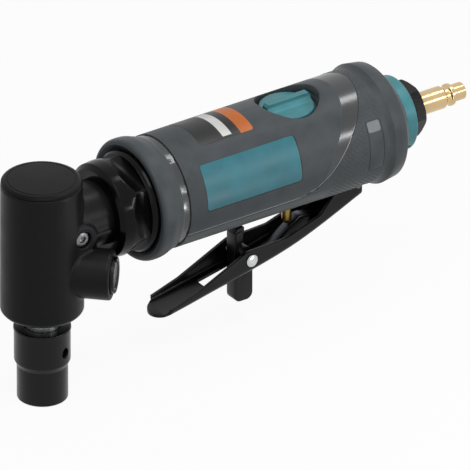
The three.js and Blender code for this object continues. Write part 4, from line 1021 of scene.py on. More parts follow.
@dataclass
class AngleHead(Assembly):
    """The cast right-angle head with its neck, stub, grease boss, cap, screw and spindle lock button."""

    body: str = "grinder"
    lock_body: str = "spindle_lock"
    top: float = 20.4
    cap_seat: float = 18.9
    cap_radius: float = 14.5
    cap_flat: float = 12.1
    cap_pocket: tuple[Pair, ...] = ((14.5, 0.0), (14.5, 4.0), (14.2, 4.0), (14.2, 9.55), (7.9, 9.55))
    cap_edge: tuple[Pair, ...] = ((1.1, 0.0), (0.5, 0.45), (0.12, 1.3))
    cap_seam: tuple[Pair, ...] = ((0.05, 0.3), (0.3, 0.05), (0.0, -0.15))
    shoulder_radius: float = 14.65
    foot_radius: float = 14.97
    foot_bevel: Pair = (1.5, 1.3)
    foot: float = -32.5
    neck_radius: float = 11.8
    collar: Triple = (26.3, 30.1, 13.3)
    neck_end: float = 39.7
    spigot_radius: float = 12.0
    chamber_radius: float = 11.4
    plug_radius: float = 11.9
    plug_seat: float = 7.6
    plug_play: float = 0.05
    mouth_radius: float = 8.8
    mouth_bevel: float = 0.4
    bearing_radius: float = 11.05
    bearing_seat: Pair = (-27.0, -19.7)
    pinion_seat: Pair = (12.4, 9.55)
    pinion_chamber: float = 8.7
    stub_radius: float = 9.2
    stub_reach: float = 25.5
    stub_height: float = -15.8
    stub_round: float = 0.8
    stub_bore: Triple = (7.0, 9.5, 0.5)
    boss_at: Pair = (9.3, -1.7)
    boss_radius: float = 5.9
    boss_face: float = 13.0
    boss_socket: Triple = (3.1, 1.6, 0.4)
    rib: Triple = (1.6, 12.7, 21.5)
    edge_round: float = 0.7
    voxel: float = 0.42
    blend_rounds: int = 6
    screw_radius: float = 2.9
    screw_length: float = 2.6
    screw_proud: float = 0.9
    screw_play: float = 0.05
    screw_dome: tuple[Pair, ...] = ((0.6, 0.0), (0.25, 0.25), (0.0, 0.9))
    screw_key: Pair = (1.3, 1.2)
    key_point: float = 0.5
    key_bevel: float = 0.2
    button_radius: float = 6.6
    button_proud: float = 1.3
    button_height: float = 3.0
    button_dish: Triple = (0.35, 1.5, 1.9)
    pin_radius: float = 2.4
    pin_bevel: float = 0.4
    pin_reach: float = 6.3
    pin_play: float = 0.3
    notch: Quad = (2.0, 1.1, 0.7, 4.0)

    def build(self) -> None:
        """Builds the head's outer pieces."""
        self._casting()
        self._cap()
        self._screw()
        self._button()

    def _stub(self, name: str, profile: Sequence[Pair], steps: int = 72) -> Piece:
        """Turns a profile about the stub's own axis.

        Args:
            name: The piece's name.
            profile: Points of distance from the spindle axis and radius.
            steps: How many facets it has.

        Returns:
            The piece, in place.
        """
        made = Forge.turned(name, profile, Axis.X, steps, (0, 0, self.stub_height))
        return Forge.spin(made, -45, "z")

    def _across(self, name: str, profile: Sequence[Pair], steps: int = 64) -> Piece:
        """Turns a profile about the grease boss's axis, which faces the front.

        Args:
            name: The piece's name.
            profile: Points of distance along the axis, outwards, and radius.
            steps: How many facets it has.

        Returns:
            The piece, in place.
        """
        x, z = self.boss_at
        made = Forge.turned(name, profile, Axis.Z, steps, (x, 0, z))
        return Forge.spin(made, 90, "x", (x, 0, z))

    def _casting(self) -> None:
        """Joins the head's volumes, lets their joints flow together, and bores it."""
        seat, foot, edge = self.cap_seat, self.foot, self.foot_radius
        high, wide = self.foot_bevel
        barrel = [(foot, 0), (foot, edge - wide), (foot + high, edge), (seat, self.shoulder_radius), (seat, 0)]
        body = Forge.turned("head_body_form", Forge.rounded(barrel, self.edge_round), Axis.Z)
        start, end, wide = self.collar
        arm = [(0, 0), (0, self.neck_radius), (start, self.neck_radius), (start, wide), (end, wide)]
        arm += [(end, self.spigot_radius), (self.neck_end, self.spigot_radius), (self.neck_end, 0)]
        nose = Forge.rounded(Forge.slug(0, self.stub_reach, self.stub_radius), self.stub_round)
        lug = Forge.rounded(Forge.slug(0, self.boss_face, self.boss_radius), self.edge_round)
        thick, proud, rib_end = self.rib
        x, z = self.boss_at
        web = Forge.plate("web", Forge.box(x, rib_end, z - thick / 2, z + thick / 2), -proud, 0)
        neck = Forge.turned("neck", arm, Axis.X)
        Forge.combine("UNION", body, neck, self._stub("nose", nose), self._across("lug", lug), web)
        remesh = body.modifiers.new("flow", "REMESH")
        remesh.mode = "VOXEL"
        remesh.voxel_size = self.voxel * MM
        smooth = body.modifiers.new("settle", "SMOOTH")
        smooth.factor = 0.5
        smooth.iterations = self.blend_rounds
        Forge.settle(body)
        Forge.combine("DIFFERENCE", body, *self._bores())
        self.show(body, self.body, BLACK_HEAD, "head_body", angle=40)

    def _bores(self) -> list[Piece]:
        """Gives the cutters of the head's bores.

        Returns:
            The cutters.
        """
        foot, mouth, bevel = self.foot, self.mouth_radius, self.mouth_bevel
        low, high = self.bearing_seat
        plug = self.plug_radius + self.plug_play
        upright = [(foot - OVER, 0), (foot - OVER, mouth + bevel + OVER), (foot, mouth + bevel)]
        upright += [(foot + bevel, mouth), (low, mouth), (low, self.bearing_radius), (high, self.bearing_radius)]
        upright += [(high, self.chamber_radius), (self.plug_seat, self.chamber_radius), (self.plug_seat, plug)]
        upright += [(self.top + OVER, plug), (self.top + OVER, 0)]
        shoulder, seat = self.pinion_seat
        past = self.neck_end + OVER
        level = [(0, 0), (0, self.pinion_chamber), (shoulder, self.pinion_chamber), (shoulder, seat)]
        bore, depth, bevel = self.stub_bore
        reach = self.stub_reach
        wide = [(reach - depth, 0), (reach - depth, bore), *Forge.mouth(reach, bore, bevel)]
        narrow = Forge.slug(0, reach, self.pin_radius + self.pin_play)
        radius, deep, bevel = self.boss_socket
        face = self.boss_face
        seat_cut = [(face - deep, 0), (face - deep, radius), *Forge.mouth(face, radius, bevel)]
        hole = Forge.slug(face - deep - self.screw_length, face, self.screw_radius + self.screw_play)
        return [
            Forge.turned("upright", upright, Axis.Z, 72),
            Forge.turned("level", [*level, (past, seat), (past, 0)], Axis.X, 72),
            self._stub("wide", wide), self._stub("narrow", narrow, 32), self._across("socket", seat_cut),
            self._across("hole", hole),
        ]

    def _cap(self) -> None:
        """Turns the cap, whose flat top has a soft rim over a fine seam."""
        seat, top, radius = self.cap_seat, self.top, self.cap_radius
        pocket = [*self.cap_pocket, (self.cap_pocket[-1][0], self.plug_radius)]
        skin = [(seat, self.plug_radius), (seat, radius)]
        skin += [(top - drop, radius - inset) for drop, inset in self.cap_edge]
        skin += [(top - drop, self.cap_flat + out) for drop, out in self.cap_seam]
        profile = pocket + Forge.rounded([*skin, (top, 0)], 0.3)
        self.show(Forge.turned("head_cap_form", profile, Axis.Z, 128), self.body, BLACK_CAP, "head_cap")

    def _screw(self) -> None:
        """Turns the grease screw, with its domed head and hex socket."""
        sunk = self.boss_face - self.boss_socket[1]
        foot, face, radius = sunk - self.screw_length, sunk + self.screw_proud, self.screw_radius
        dome = [(face - drop, radius - inset) for drop, inset in self.screw_dome]
        profile = Forge.rounded([(foot, 0), (foot, radius), *dome, (face, 0)], 0.3)
        screw = self._across("lubrication_screw_form", profile)
        key, deep = self.screw_key
        bevel, out = self.key_bevel, OVER / 2
        tip = [(face - deep - self.key_point, 0), (face - deep, key), (face - bevel, key)]
        tip += [(face + out, key + bevel + out), (face + OVER, key + bevel + out), (face + OVER, 0)]
        Forge.combine("DIFFERENCE", screw, self._across("key", tip, 6))
        self.show(screw, self.body, WIRE_STEEL, "lubrication_screw")

    def _button(self) -> None:
        """Turns the spindle lock's button and pin, with the notch in its rim."""
        outer = self.stub_reach + self.button_proud
        inner = outer - self.button_height
        radius, pin, tip, bevel = self.button_radius, self.pin_radius, self.pin_reach, self.pin_bevel
        sunk, lip, floor = self.button_dish
        profile = [(tip, 0), (tip, pin - bevel), (tip + bevel, pin), (inner, pin), (inner, radius)]
        profile += [(outer, radius), (outer, radius - lip), (outer - sunk, radius - floor), (outer - sunk, 0)]
        button = self._stub("spindle_lock_button_form", Forge.rounded(profile, 0.35), 96)
        wide, deep, drop, tall = self.notch
        low = self.stub_height + radius - drop - deep
        slot = Forge.box(outer - deep, outer + OVER, low, low + tall)
        notch = Forge.spin(Forge.plate("notch", slot, -wide / 2, wide / 2), -45, "z")
        Forge.combine("DIFFERENCE", button, notch)
        self.show(button, self.lock_body, BLACK_OXIDE, "spindle_lock_button")


@dataclass
class ColletDrive(Assembly):
    """The spindle with its collet, the lip seal round it and the collet nut."""

    body: str = "spindle"
    nut_body: str = "collet_nut"
    nose_radius: float = 6.4
    nose_top: float = -27.3
    bevel: float = 0.4
    thread_radius: float = 7.0
    thread_pitch: float = 1.0
    thread_depth: float = 0.5
    thread_start: float = -39.2
    end: float = -56.0
    end_bevel: float = 0.6
    shaft: tuple[Pair, ...] = (
        (-27.3, 5.5), (-27.0, 5.5), (-27.0, 3.88), (-20.0, 3.88), (-20.0, 5.4), (-11.65, 5.4), (-11.65, 3.88),
        (7.9, 3.88), (7.9, 2.88),
    )
    top: float = 14.1
    taper: tuple[Pair, ...] = ((-57.0, 0.0), (-57.0, 5.65), (-56.0, 5.3), (-41.0, 4.8), (-41.0, 0.0))
    lock_hole: Quad = (2.9, 3.1, 11.4, -15.8)
    collet: tuple[Pair, ...] = (
        (-60.3, 3.3), (-60.3, 4.1), (-56.3, 5.0), (-56.0, 5.0), (-41.3, 4.5), (-41.3, 3.0), (-60.0, 3.0)
    )
    slit: Quad = (1.0, 6.6, -61.0, -47.3)
    slit_width: float = 0.7
    nut_top: float = -38.2
    nut_inside: tuple[Pair, ...] = (
        (-60.6, 4.4), (-60.3, 4.4), (-56.3, 5.9), (-56.3, 7.3), (-38.9, 7.3), (-38.9, 6.7)
    )
    rim_radius: float = 10.3
    rim_foot: Pair = (1.2, 1.3)
    nut_radius: float = 10.1
    waist: Pair = (-51.4, -53.4)
    lower_radius: float = 9.15
    nut_end: float = -66.8
    hole: Triple = (1.8, 1.9, -46.8)
    hole_point: float = 0.7
    hole_bevel: float = 0.35
    hole_turn: float = -69.0
    seal: tuple[Pair, ...] = (
        (-29.7, 7.45), (-29.7, 8.75), (-27.3, 8.75), (-27.3, 7.05), (-28.5, 6.55), (-29.0, 6.55)
    )

    def build(self) -> None:
        """Builds the drive's pieces."""
        self._spindle()
        self._collet()
        self._nut()
        self._seal()

    def _spindle(self) -> None:
        """Turns the spindle with its thread grooves, and drills the collet's taper and the lock holes."""
        thread, pitch, bevel = self.thread_radius, self.thread_pitch, self.bevel
        profile = [(self.end, 0), (self.end, thread - self.end_bevel)]
        crest = self.end + self.end_bevel
        while crest < self.thread_start - pitch:
            profile += [(crest, thread), (crest + pitch / 2, thread - self.thread_depth)]
            crest += pitch
        profile += [(self.thread_start - bevel, thread), (self.thread_start, self.nose_radius)]
        profile += [(self.nose_top - bevel, self.nose_radius), (self.nose_top, self.nose_radius - bevel)]
        tail = self.shaft[-1][1]
        profile += [*self.shaft, (self.top - bevel, tail), (self.top, tail - bevel), (self.top, 0)]
        body = Forge.turned("spindle_form", profile, Axis.Z, 64)
        radius, start, end, height = self.lock_hole
        drill = Forge.rod("drill", radius, start, end, Axis.X, 32, (0, 0, height))
        taper = Forge.turned("taper", self.taper, Axis.Z, 48)
        Forge.combine("DIFFERENCE", body, taper, PATTERN.around(drill, 4, 90, Axis.Z, first=-45))
        self.show(body, self.body, TURNED_STEEL, "spindle")

    def _collet(self) -> None:
        """Turns the collet and saws its slits."""
        body = Forge.turned("collet_form", self.collet, Axis.Z, 64)
        half = self.slit_width / 2
        saw = Forge.plate("saw", Forge.box(*self.slit), -half, half)
        Forge.combine("DIFFERENCE", body, PATTERN.around(saw, 3, 120, Axis.Z))
        self.show(body, self.body, BARE_STEEL, "collet")

    def _nut(self) -> None:
        """Turns the collet nut and drills its two blind pin holes."""
        top, end, inside = self.nut_top, self.nut_end, self.nut_inside
        waist, waist_end = self.waist
        land, foot = self.rim_foot
        outer = [(top, inside[-1][1]), (top, self.rim_radius), (top - land, self.rim_radius)]
        outer += [(top - foot, self.nut_radius), (waist, self.nut_radius), (waist_end, self.lower_radius)]
        outer += [(end, self.lower_radius), (end, inside[0][1])]
        nut = Forge.turned("collet_nut_form", [*Forge.rounded(outer, 0.5, 5), *inside], Axis.Z, 128)
        radius, deep, height = self.hole
        rim = self.nut_radius
        floor = rim - deep
        profile = [(floor - self.hole_point, 0), (floor, radius), *Forge.mouth(rim, radius, self.hole_bevel)]
        drill = Forge.turned("drill", profile, Axis.X, 40, (0, 0, height))
        Forge.combine("DIFFERENCE", nut, PATTERN.around(drill, 2, 180, Axis.Z, first=self.hole_turn))
        self.show(nut, self.nut_body, BLACK_OXIDE, "collet_nut")

    def _seal(self) -> None:
        """Turns the lip seal in the head's mouth."""
        seal = Forge.turned("spindle_seal_form", Forge.rounded(self.seal, 0.2), Axis.Z)
        self.show(seal, "grinder", RUBBER, "spindle_seal")


@dataclass
class ClampNut(Assembly):
    """The glossy nut that clamps the head to the barrel, with six milled wrench flats."""

    body: str = "grinder"
    front: float = 22.9
    front_radius: float = 15.6
    chamfer: float = 1.4
    radius: float = 17.8
    end: float = 38.7
    lip_end: float = 26.0
    lip_radius: float = 12.1
    thread_radius: float = 13.9
    flat_start: float = 28.0
    flat_end: float = 35.4
    flat_reach: float = 15.5
    cutter_radius: float = 13.5
    flat_turn: float = 171.0
    rim: Triple = (35.6, 37.9, 19.0)
    rim_cone: Pair = (0.7, 0.45)
    rim_bevel: Pair = (0.3, 0.2)
    draft: float = 0.35

    def build(self) -> None:
        """Turns the nut with its rear rim, and mills its flats."""
        front, end, radius = self.front, self.end, self.radius
        rim_start, rim_end, wide = self.rim
        length, rise = self.rim_cone
        land, drop = self.rim_bevel
        rim = [(front, self.lip_radius), (front, self.front_radius), (front + self.chamfer, radius - self.draft)]
        rim += [(self.flat_start, radius), (rim_start, radius), (rim_start + length, wide - rise)]
        rim += [(rim_end - land, wide), (rim_end, wide - drop), (rim_end, radius), (end, radius)]
        rim.append((end, self.thread_radius))
        inner = [(self.lip_end, self.thread_radius), (self.lip_end, self.lip_radius)]
        nut = Forge.turned("clamp_nut_form", Forge.rounded(rim, 0.45, 4) + inner, Axis.X, 144)
        Forge.combine("DIFFERENCE", nut, self._mill())
        Forge.soften(nut, 0.16, 20, 2)
        self.show(nut, self.body, GLOSS_BLACK, "clamp_nut", angle=24)

    def _mill(self) -> Piece:
        """Gives the cutters of the six flats, whose front ends are round.

        Returns:
            The cutters, as one mesh.
        """
        size = self.cutter_radius
        middle = self.flat_start + size
        stop = math.acos((middle - self.flat_end) / size)
        outline = Forge.arc(middle, 0, size, math.pi - stop, math.pi + stop, 40)
        made = Forge.plate("mill", outline, self.flat_reach, self.radius + OVER, axis="z")
        return PATTERN.around(made, 6, 60, Axis.X, first=self.flat_turn - 90)


@dataclass(frozen=True)
class Plate:
    """A bare plate round the grip: its box (ends along the barrel, then degrees round it), depths and corners."""

    name: str
    box: Quad
    sunk: float
    proud: float
    corner: float
    finish: Finish
    bevel: float = 0.0
    banded: bool = False


@dataclass
class Grip(Assembly):
    """The moulded grip: its body, the upper shell with a glossy band, the bare plates and the knurled field."""

    body: str = "grinder"
    radius: float = 21.0
    inner: float = 18.4
    inner_end: float = 141.5
    front_seat: Pair = (38.6, 18.6)
    band: Pair = (46.8, 49.5)
    band_depth: float = 0.35
    band_slope: float = 0.1
    flange: tuple[Pair, ...] = (
        (37.0, 20.7), (37.2, 21.8), (38.1, 22.45), (39.6, 22.6), (42.0, 22.45), (44.4, 21.7), (46.8, 21.0)
    )
    rise: tuple[Pair, ...] = ((134.0, 21.0), (135.2, 21.15), (136.4, 21.6), (137.5, 22.22))
    dome: tuple[Pair, ...] = (
        (137.8, 22.3), (143.0, 21.5), (143.35, 21.2), (145.0, 19.2), (146.6, 17.1), (148.0, 14.9)
    )
    opening: float = 14.2
    past: float = 24.0
    shell_front: float = 49.8
    side_height: float = -9.7
    bend: Triple = (96.0, 104.7, 113.0)
    slant_top: float = 131.2
    seam: float = 0.3
    edge_bevel: float = 0.22
    # Width of the pale painted-highlight strip along the shell's border, and the height where its rear part stops.
    line: Pair = (0.4, 9.0)
    gloss_edge: tuple[Pair, ...] = (
        (107.0, -6.0), (110.5, 2.0), (113.6, 7.3), (118.5, 13.4), (122.1, 19.2), (124.5, 23.6)
    )
    pocket: Triple = (105.4, 11.5, 14.2)
    pocket_flare: tuple[Pair, ...] = ((19.6, 0.0), (20.6, 0.5), (24.0, 1.4))
    stem_hole: float = 2.15
    recess: Quad = (115.4, 135.3, -13.7, 7.45)
    pivot: Pair = (130.5, -18.3)
    pin_bore: Pair = (1.55, 2.15)
    pin_length: float = 19.2
    badge: Quad = (127.0, 133.4, 56.3, 110.3)
    badge_clear: float = 4.0
    plates: tuple[Plate, ...] = (
        # The dark plates under the side plate and the badge are a thin rim at the front and top and a wider one at
        # the rear and lower edges: painted shadow of the plates' steps.
        Plate("side_plate_painted_shadow", (56.8, 97.9, 45.9, 93.9), 0.3, 0.07, 1.6, LABEL_BLACK_AND_PAINTED_SHADOW),
        Plate("side_plate", (56.9, 97.45, 46.1, 92.8), 0.2, 0.1, 1.4, TEAL_FILM),
        Plate("top_plate", (61.7, 84.5, -27.6, 27.6), 0.3, 0.07, 1.5, LABEL_BLACK_AND_PAINTED_SHADOW, banded=True),
        Plate("badge_painted_shadow", badge, 0.3, 0.06, 1.2, LABEL_BLACK_AND_PAINTED_SHADOW),
        Plate("rear_badge", (127.05, 133.0, 56.4, 109.0), 0.3, 0.16, 1.0, SLATE, bevel=0.06),
        Plate("badge_film", (127.4, 132.6, 57.5, 68.3), 0.2, 0.2, 0.9, BADGE_FILM),
    )
    top_bands: Triple = (71.7, 75.5, 79.0)
    white_half: float = 24.0
    knurl: Triple = (2.0, 0.98, 0.13)
    knurl_sink: float = 0.08
    knurl_gap: float = 1.0
    knurl_front: float = 100.0
    knurl_foot: float = 111.0
    knurl_end: float = 133.4

    def build(self) -> None:
        """Builds the grip's pieces."""
        self._body()
        self._shell()
        self._plates()
        self._knurl()

    def _profile(self) -> list[Pair]:
        """Gives the grip's profile, round its rim, ridge and dome.

        Returns:
            Points of station and radius.
        """
        start, end = self.band
        low, slope = self.radius - self.band_depth, self.band_slope
        rear = self.dome[-1][0]
        profile = [(self.front_seat[0], self.inner), self.front_seat, *Forge.flowing(self.flange, 5)]
        profile += [(start + slope, low), (end - slope, low), (end, self.radius)]
        profile += [*Forge.flowing(self.rise, 5), *self.dome, (rear, self.opening)]
        return [*profile, (self.inner_end, self.opening), (self.inner_end, self.inner)]

    def _border(self, gap: float) -> Piece:
        """Gives the solid inside the upper shell's border.

        Args:
            gap: How far outside the border it reaches.

        Returns:
            The solid.
        """
        start, middle, foot = self.bend
        side = self.side_height - gap
        top = self.past
        rise = (self.slant_top - foot) / self.radius
        outline = [(self.shell_front - gap, side)]
        for k in range(13):
            t = k / 12
            x = start * (1 - t) ** 2 + (middle + gap) * 2 * t * (1 - t) + (foot + gap) * t * t
            outline.append((x, side * (1 - t) ** 2 + side * 2 * t * (1 - t)))
        outline += [(foot + rise * top + gap, top), (self.shell_front - gap, top)]
        return Forge.plate("border", outline, -self.past, self.past)

    def _body(self) -> None:
        """Turns the grip's body, and cuts the shell's seat, the lever's slot and the bores."""
        body = Forge.turned("grip_body_form", self._profile(), Axis.X, 144)
        start, end, roof, half = self.recess
        past, reach = self.past, self.pin_length / 2
        slot = Forge.plate("slot", Forge.box(start, end, -past, roof), -half, half)
        place = (self.pivot[0], 0, self.pivot[1])
        bore, sink = self.pin_bore
        bores = [Forge.rod("bore", bore, -past, past, Axis.Z, 32, place)]
        for low, high in ((-past, -reach), (reach, past)):
            bores.append(Forge.rod("sink", sink, low, high, Axis.Z, 48, place))
        for cutter in bores:
            Forge.spin(cutter, 90, "x", place)
        stem = Forge.rod("stem", self.stem_hole, -past, 0, Axis.Z, 48, (self.pocket[0], 0, 0))
        Forge.combine("DIFFERENCE", body, self._border(self.seam), slot, *bores, stem)
        Forge.soften(body, self.edge_bevel, 35, 2)
        start, end = self.band
        for finish in (SLATE, SLATE_GLOSS):
            body.data.materials.append(SHOP.material(finish))
        for face in body.data.polygons:
            if start - 0.2 < face.center.x / MM < end - 0.05 and face.normal.x < 0.5:
                face.material_index = 1
        self.show(body, self.body, SLATE, "grip_body")

    def _shell(self) -> None:
        """Turns the upper shell, cuts the regulator's pocket, gives its rear edge the glossy band, and paints a
        pale strip along its lower and rear border as a painted highlight.
        """
        shell = Forge.turned("grip_top_shell_form", self._profile(), Axis.X, 144)
        x, radius, floor = self.pocket
        flare = [(z, radius + wider) for z, wider in self.pocket_flare]
        profile = [(floor, 0), (floor, radius), *flare, (flare[-1][0], 0)]
        Forge.combine("INTERSECT", shell, self._border(0))
        Forge.combine("DIFFERENCE", shell, Forge.turned("pocket", profile, Axis.Z, 96, (x, 0, 0)))
        Forge.soften(shell, self.edge_bevel, 35, 2)
        edge = self.gloss_edge
        # A strip this wide along the lower and rear border gets the pale finish: a painted highlight where the
        # shell's edge would catch the light.
        wide, rear_highlight_top = self.line
        low_highlight_top = self.side_height + wide
        heights = [low_highlight_top, low_highlight_top * 0.75, low_highlight_top * 0.5, low_highlight_top * 0.25, 0.0, rear_highlight_top]
        border = [(self._border_at(z) - wide, z) for z in heights]
        straight = ((self.shell_front, low_highlight_top), (self.bend[1], low_highlight_top))
        Forge.score(shell, [straight, *zip(border, border[1:]), *zip(edge, edge[1:])])
        for finish in (SLATE, SLATE_GLOSS, PAINTED_EDGE_HIGHLIGHT):
            shell.data.materials.append(SHOP.material(finish))
        for face in shell.data.polygons:
            px, pz = face.center.x / MM, face.center.z / MM + AXIS_DROP
            skin = math.hypot(face.center.y / MM, pz) > self.radius - self.edge_bevel
            # Faces on the border strip get the pale painted highlight; faces behind the gloss edge get the glossy
            # band.
            if skin and (pz < low_highlight_top or (pz < rear_highlight_top and px > self._border_at(pz) - wide)):
                face.material_index = 2
            elif px > self._gloss_at(pz):
                face.material_index = 1
        self.show(shell, self.body, SLATE, "grip_top_shell")

    def _plates(self) -> None:
        """Lays the bare side plate, the banded top plate and the bare badge on the grip, with a dark plate under
        the side plate and one under the badge that show as painted shadow along their rear and lower edges.
        """
        for plate in self.plates:
            inner, outer = self.radius - plate.sunk, self.radius + plate.proud
            piece = Forge.wrapped(plate.name, *plate.box, inner, outer, plate.corner)
            if plate.bevel:
                Forge.soften(piece, plate.bevel, 50, 2)
            if plate.banded:
                self._paint_bands(piece)
            self.show(piece, self.body, plate.finish)

    def _paint_bands(self, piece: Piece) -> None:
        """Gives a plate its pale field and its orange end.

        Args:
            piece: The plate.
        """
        first, second, third = self.top_bands
        for x in self.top_bands:
            Forge.score(piece, [((x, 0.0), (x, 1.0))])
        for finish in (LABEL_BLACK_AND_PAINTED_SHADOW, LABEL_WHITE, LABEL_ORANGE):
            piece.data.materials.append(SHOP.material(finish))
        for face in piece.data.polygons:
            x = face.center.x / MM
            z = face.center.z / MM + AXIS_DROP
            turn = abs(math.degrees(math.atan2(face.center.y / MM, z)))
            if x > third:
                face.material_index = 2
            elif first < x < second and turn < self.white_half:
                face.material_index = 1

    def _gloss_at(self, z: float) -> float:
        """Gives where the upper shell's glossy band starts.

        Args:
            z: The height.

        Returns:
            The place along the barrel, or infinity where there is no band.
        """
        for (x0, z0), (x1, z1) in zip(self.gloss_edge, self.gloss_edge[1:]):
            if z0 <= z <= z1:
                return x0 + (x1 - x0) * (z - z0) / (z1 - z0)
        return math.inf

    def _border_at(self, z: float) -> float:
        """Gives where the upper shell's rear border lies.

        Args:
            z: The height.

        Returns:
            The place along the barrel.
        """
        start, middle, foot = self.bend
        side = self.side_height
        if z <= side:
            return self.knurl_foot
        if z < 0:
            t = math.sqrt(1 - z / side)
            return start * (1 - t) ** 2 + middle * 2 * t * (1 - t) + foot * t * t
        return foot + z * (self.slant_top - foot) / self.radius

    def _bare(self, x: float, turn: float) -> bool:
        """Tells whether a place on the grip has no knurl.

        Args:
            x: The place along the barrel.
            turn: The place round it, in degrees from the top towards the front.

        Returns:
            Whether it is left bare.
        """
        y, z = -self.radius * math.sin(math.radians(turn)), self.radius * math.cos(math.radians(turn))
        start, _, _, half = self.recess
        first, last, low, high = self.badge
        gap = self.knurl_gap
        slot = z < 0 and x > start - gap and abs(y) < half + gap
        clear = self.badge_clear
        badge = first - gap < x < last + gap and low - clear < turn < high + clear
        pin = math.hypot(x - self.pivot[0], z - self.pivot[1]) < self.pin_bore[1] + gap
        return x < max(self._border_at(z) + gap, self.knurl_front) or slot or badge or pin

    def _knurl(self) -> None:
        """Sets the diamond knurl on the grip behind the upper shell."""
        pitch, half, proud = self.knurl
        sunk = self.radius - self.knurl_sink
        around = 2 * round(math.pi * self.radius / pitch)
        places: list[Triple] = []
        for i in range(int((self.knurl_end - self.knurl_front) / pitch * 2) + 1):
            for k in range(around):
                x = self.knurl_end - i * pitch / 2
                turn = (k + 0.5 * (i % 2)) * 360 / around
                turn -= 360 if turn > 180 else 0
                if not self._bare(x, turn):
                    places.append((x, -sunk * math.sin(math.radians(turn)), sunk * math.cos(math.radians(turn))))
        studs = PATTERN.studs(Forge.mesh("grip_knurl", places, []), half, proud + self.knurl_sink, SLATE)
        self.show(studs, self.body, SLATE, angle=10)


@dataclass
class Regulator(Assembly):
    """The air regulator's knob with its O-ring and clip, and the throttle valve under it."""

    body: str = "regulator"
    at: float = 105.4
    radius: float = 10.0
    foot: float = 14.5
    rim: float = 17.6
    bar_length: float = 18.8
    bar_foot: float = 3.9
    bar_ridge: float = 1.35
    bar_top: float = 20.5
    stem_radius: float = 6.2
    stem_end: float = 5.3
    ring_groove: Triple = (4.9, 8.2, 10.2)
    clip_groove: Triple = (5.3, 12.2, 13.1)
    bar_sink: float = 0.3
    bar_chamfer: Pair = (0.9, 1.6)
    valve: tuple[Pair, ...] = (
        (-30.1, 0.0), (-30.1, 0.5), (-29.7, 1.0), (-28.4, 1.85), (-7.9, 1.85), (-7.9, 4.0), (-5.5, 4.0),
        (-5.5, 1.4), (-0.8, 1.4), (-0.8, 0.0),
    )
    valve_body: str = "throttle_valve"

    def build(self) -> None:
        """Builds the knob and the valve."""
        self._knob()
        self._valve()

    def _knob(self) -> None:
        """Turns the knob's disc and stem, and raises the bar across it."""
        stem, rim, place = self.stem_radius, self.rim, (self.at, 0, 0)
        profile = [(self.stem_end, 0), (self.stem_end, stem)]
        for radius, low, high in (self.ring_groove, self.clip_groove):
            profile += [(low, stem), (low, radius), (high, radius), (high, stem)]
        head = [(self.foot, stem), (self.foot, self.radius), (rim, self.radius), (rim, 0)]
        profile += [*Forge.rounded(head, 0.6), (rim, 0)]
        knob = Forge.turned("regulator_knob_form", profile, Axis.Z, 96, place)
        foot, ridge, top = self.bar_foot, self.bar_ridge, self.bar_top
        low, shoulder = rim - self.bar_sink, top - self.bar_sink
        side = [(ridge, top)]
        for k in range(9):
            t = k / 8
            side.append((ridge + (foot - ridge) * t**2.2, shoulder - (shoulder - low) * t**0.7))
        side.append((foot, low - OVER))
        section = [(self.at + y, z) for y, z in side] + [(self.at - y, z) for y, z in reversed(side)]
        half = self.bar_length / 2
        bar = Forge.spin(Forge.plate("bar", section, -half, half), 90, "z", place)
        drop, inset = self.bar_chamfer
        ends = [(low - 2, 0), (low - 2, half), (top - drop, half), (top + OVER, half - inset), (top + OVER, 0)]
        Forge.combine("INTERSECT", bar, Forge.turned("ends", ends, Axis.Z, 96, place))
        Forge.combine("UNION", knob, bar)
        Forge.soften(knob, 0.3, 40, 3)
        self.show(knob, self.body, TEAL, "regulator_knob")

    def _valve(self) -> None:
        """Turns the brass valve stem, its guide and its head."""
        profile = Forge.rounded(self.valve, 0.25)
        valve = Forge.turned("throttle_valve_form", profile, Axis.Z, 64, (self.at, 0, 0))
        self.show(valve, self.valve_body, VALVE_BRASS, "throttle_valve")


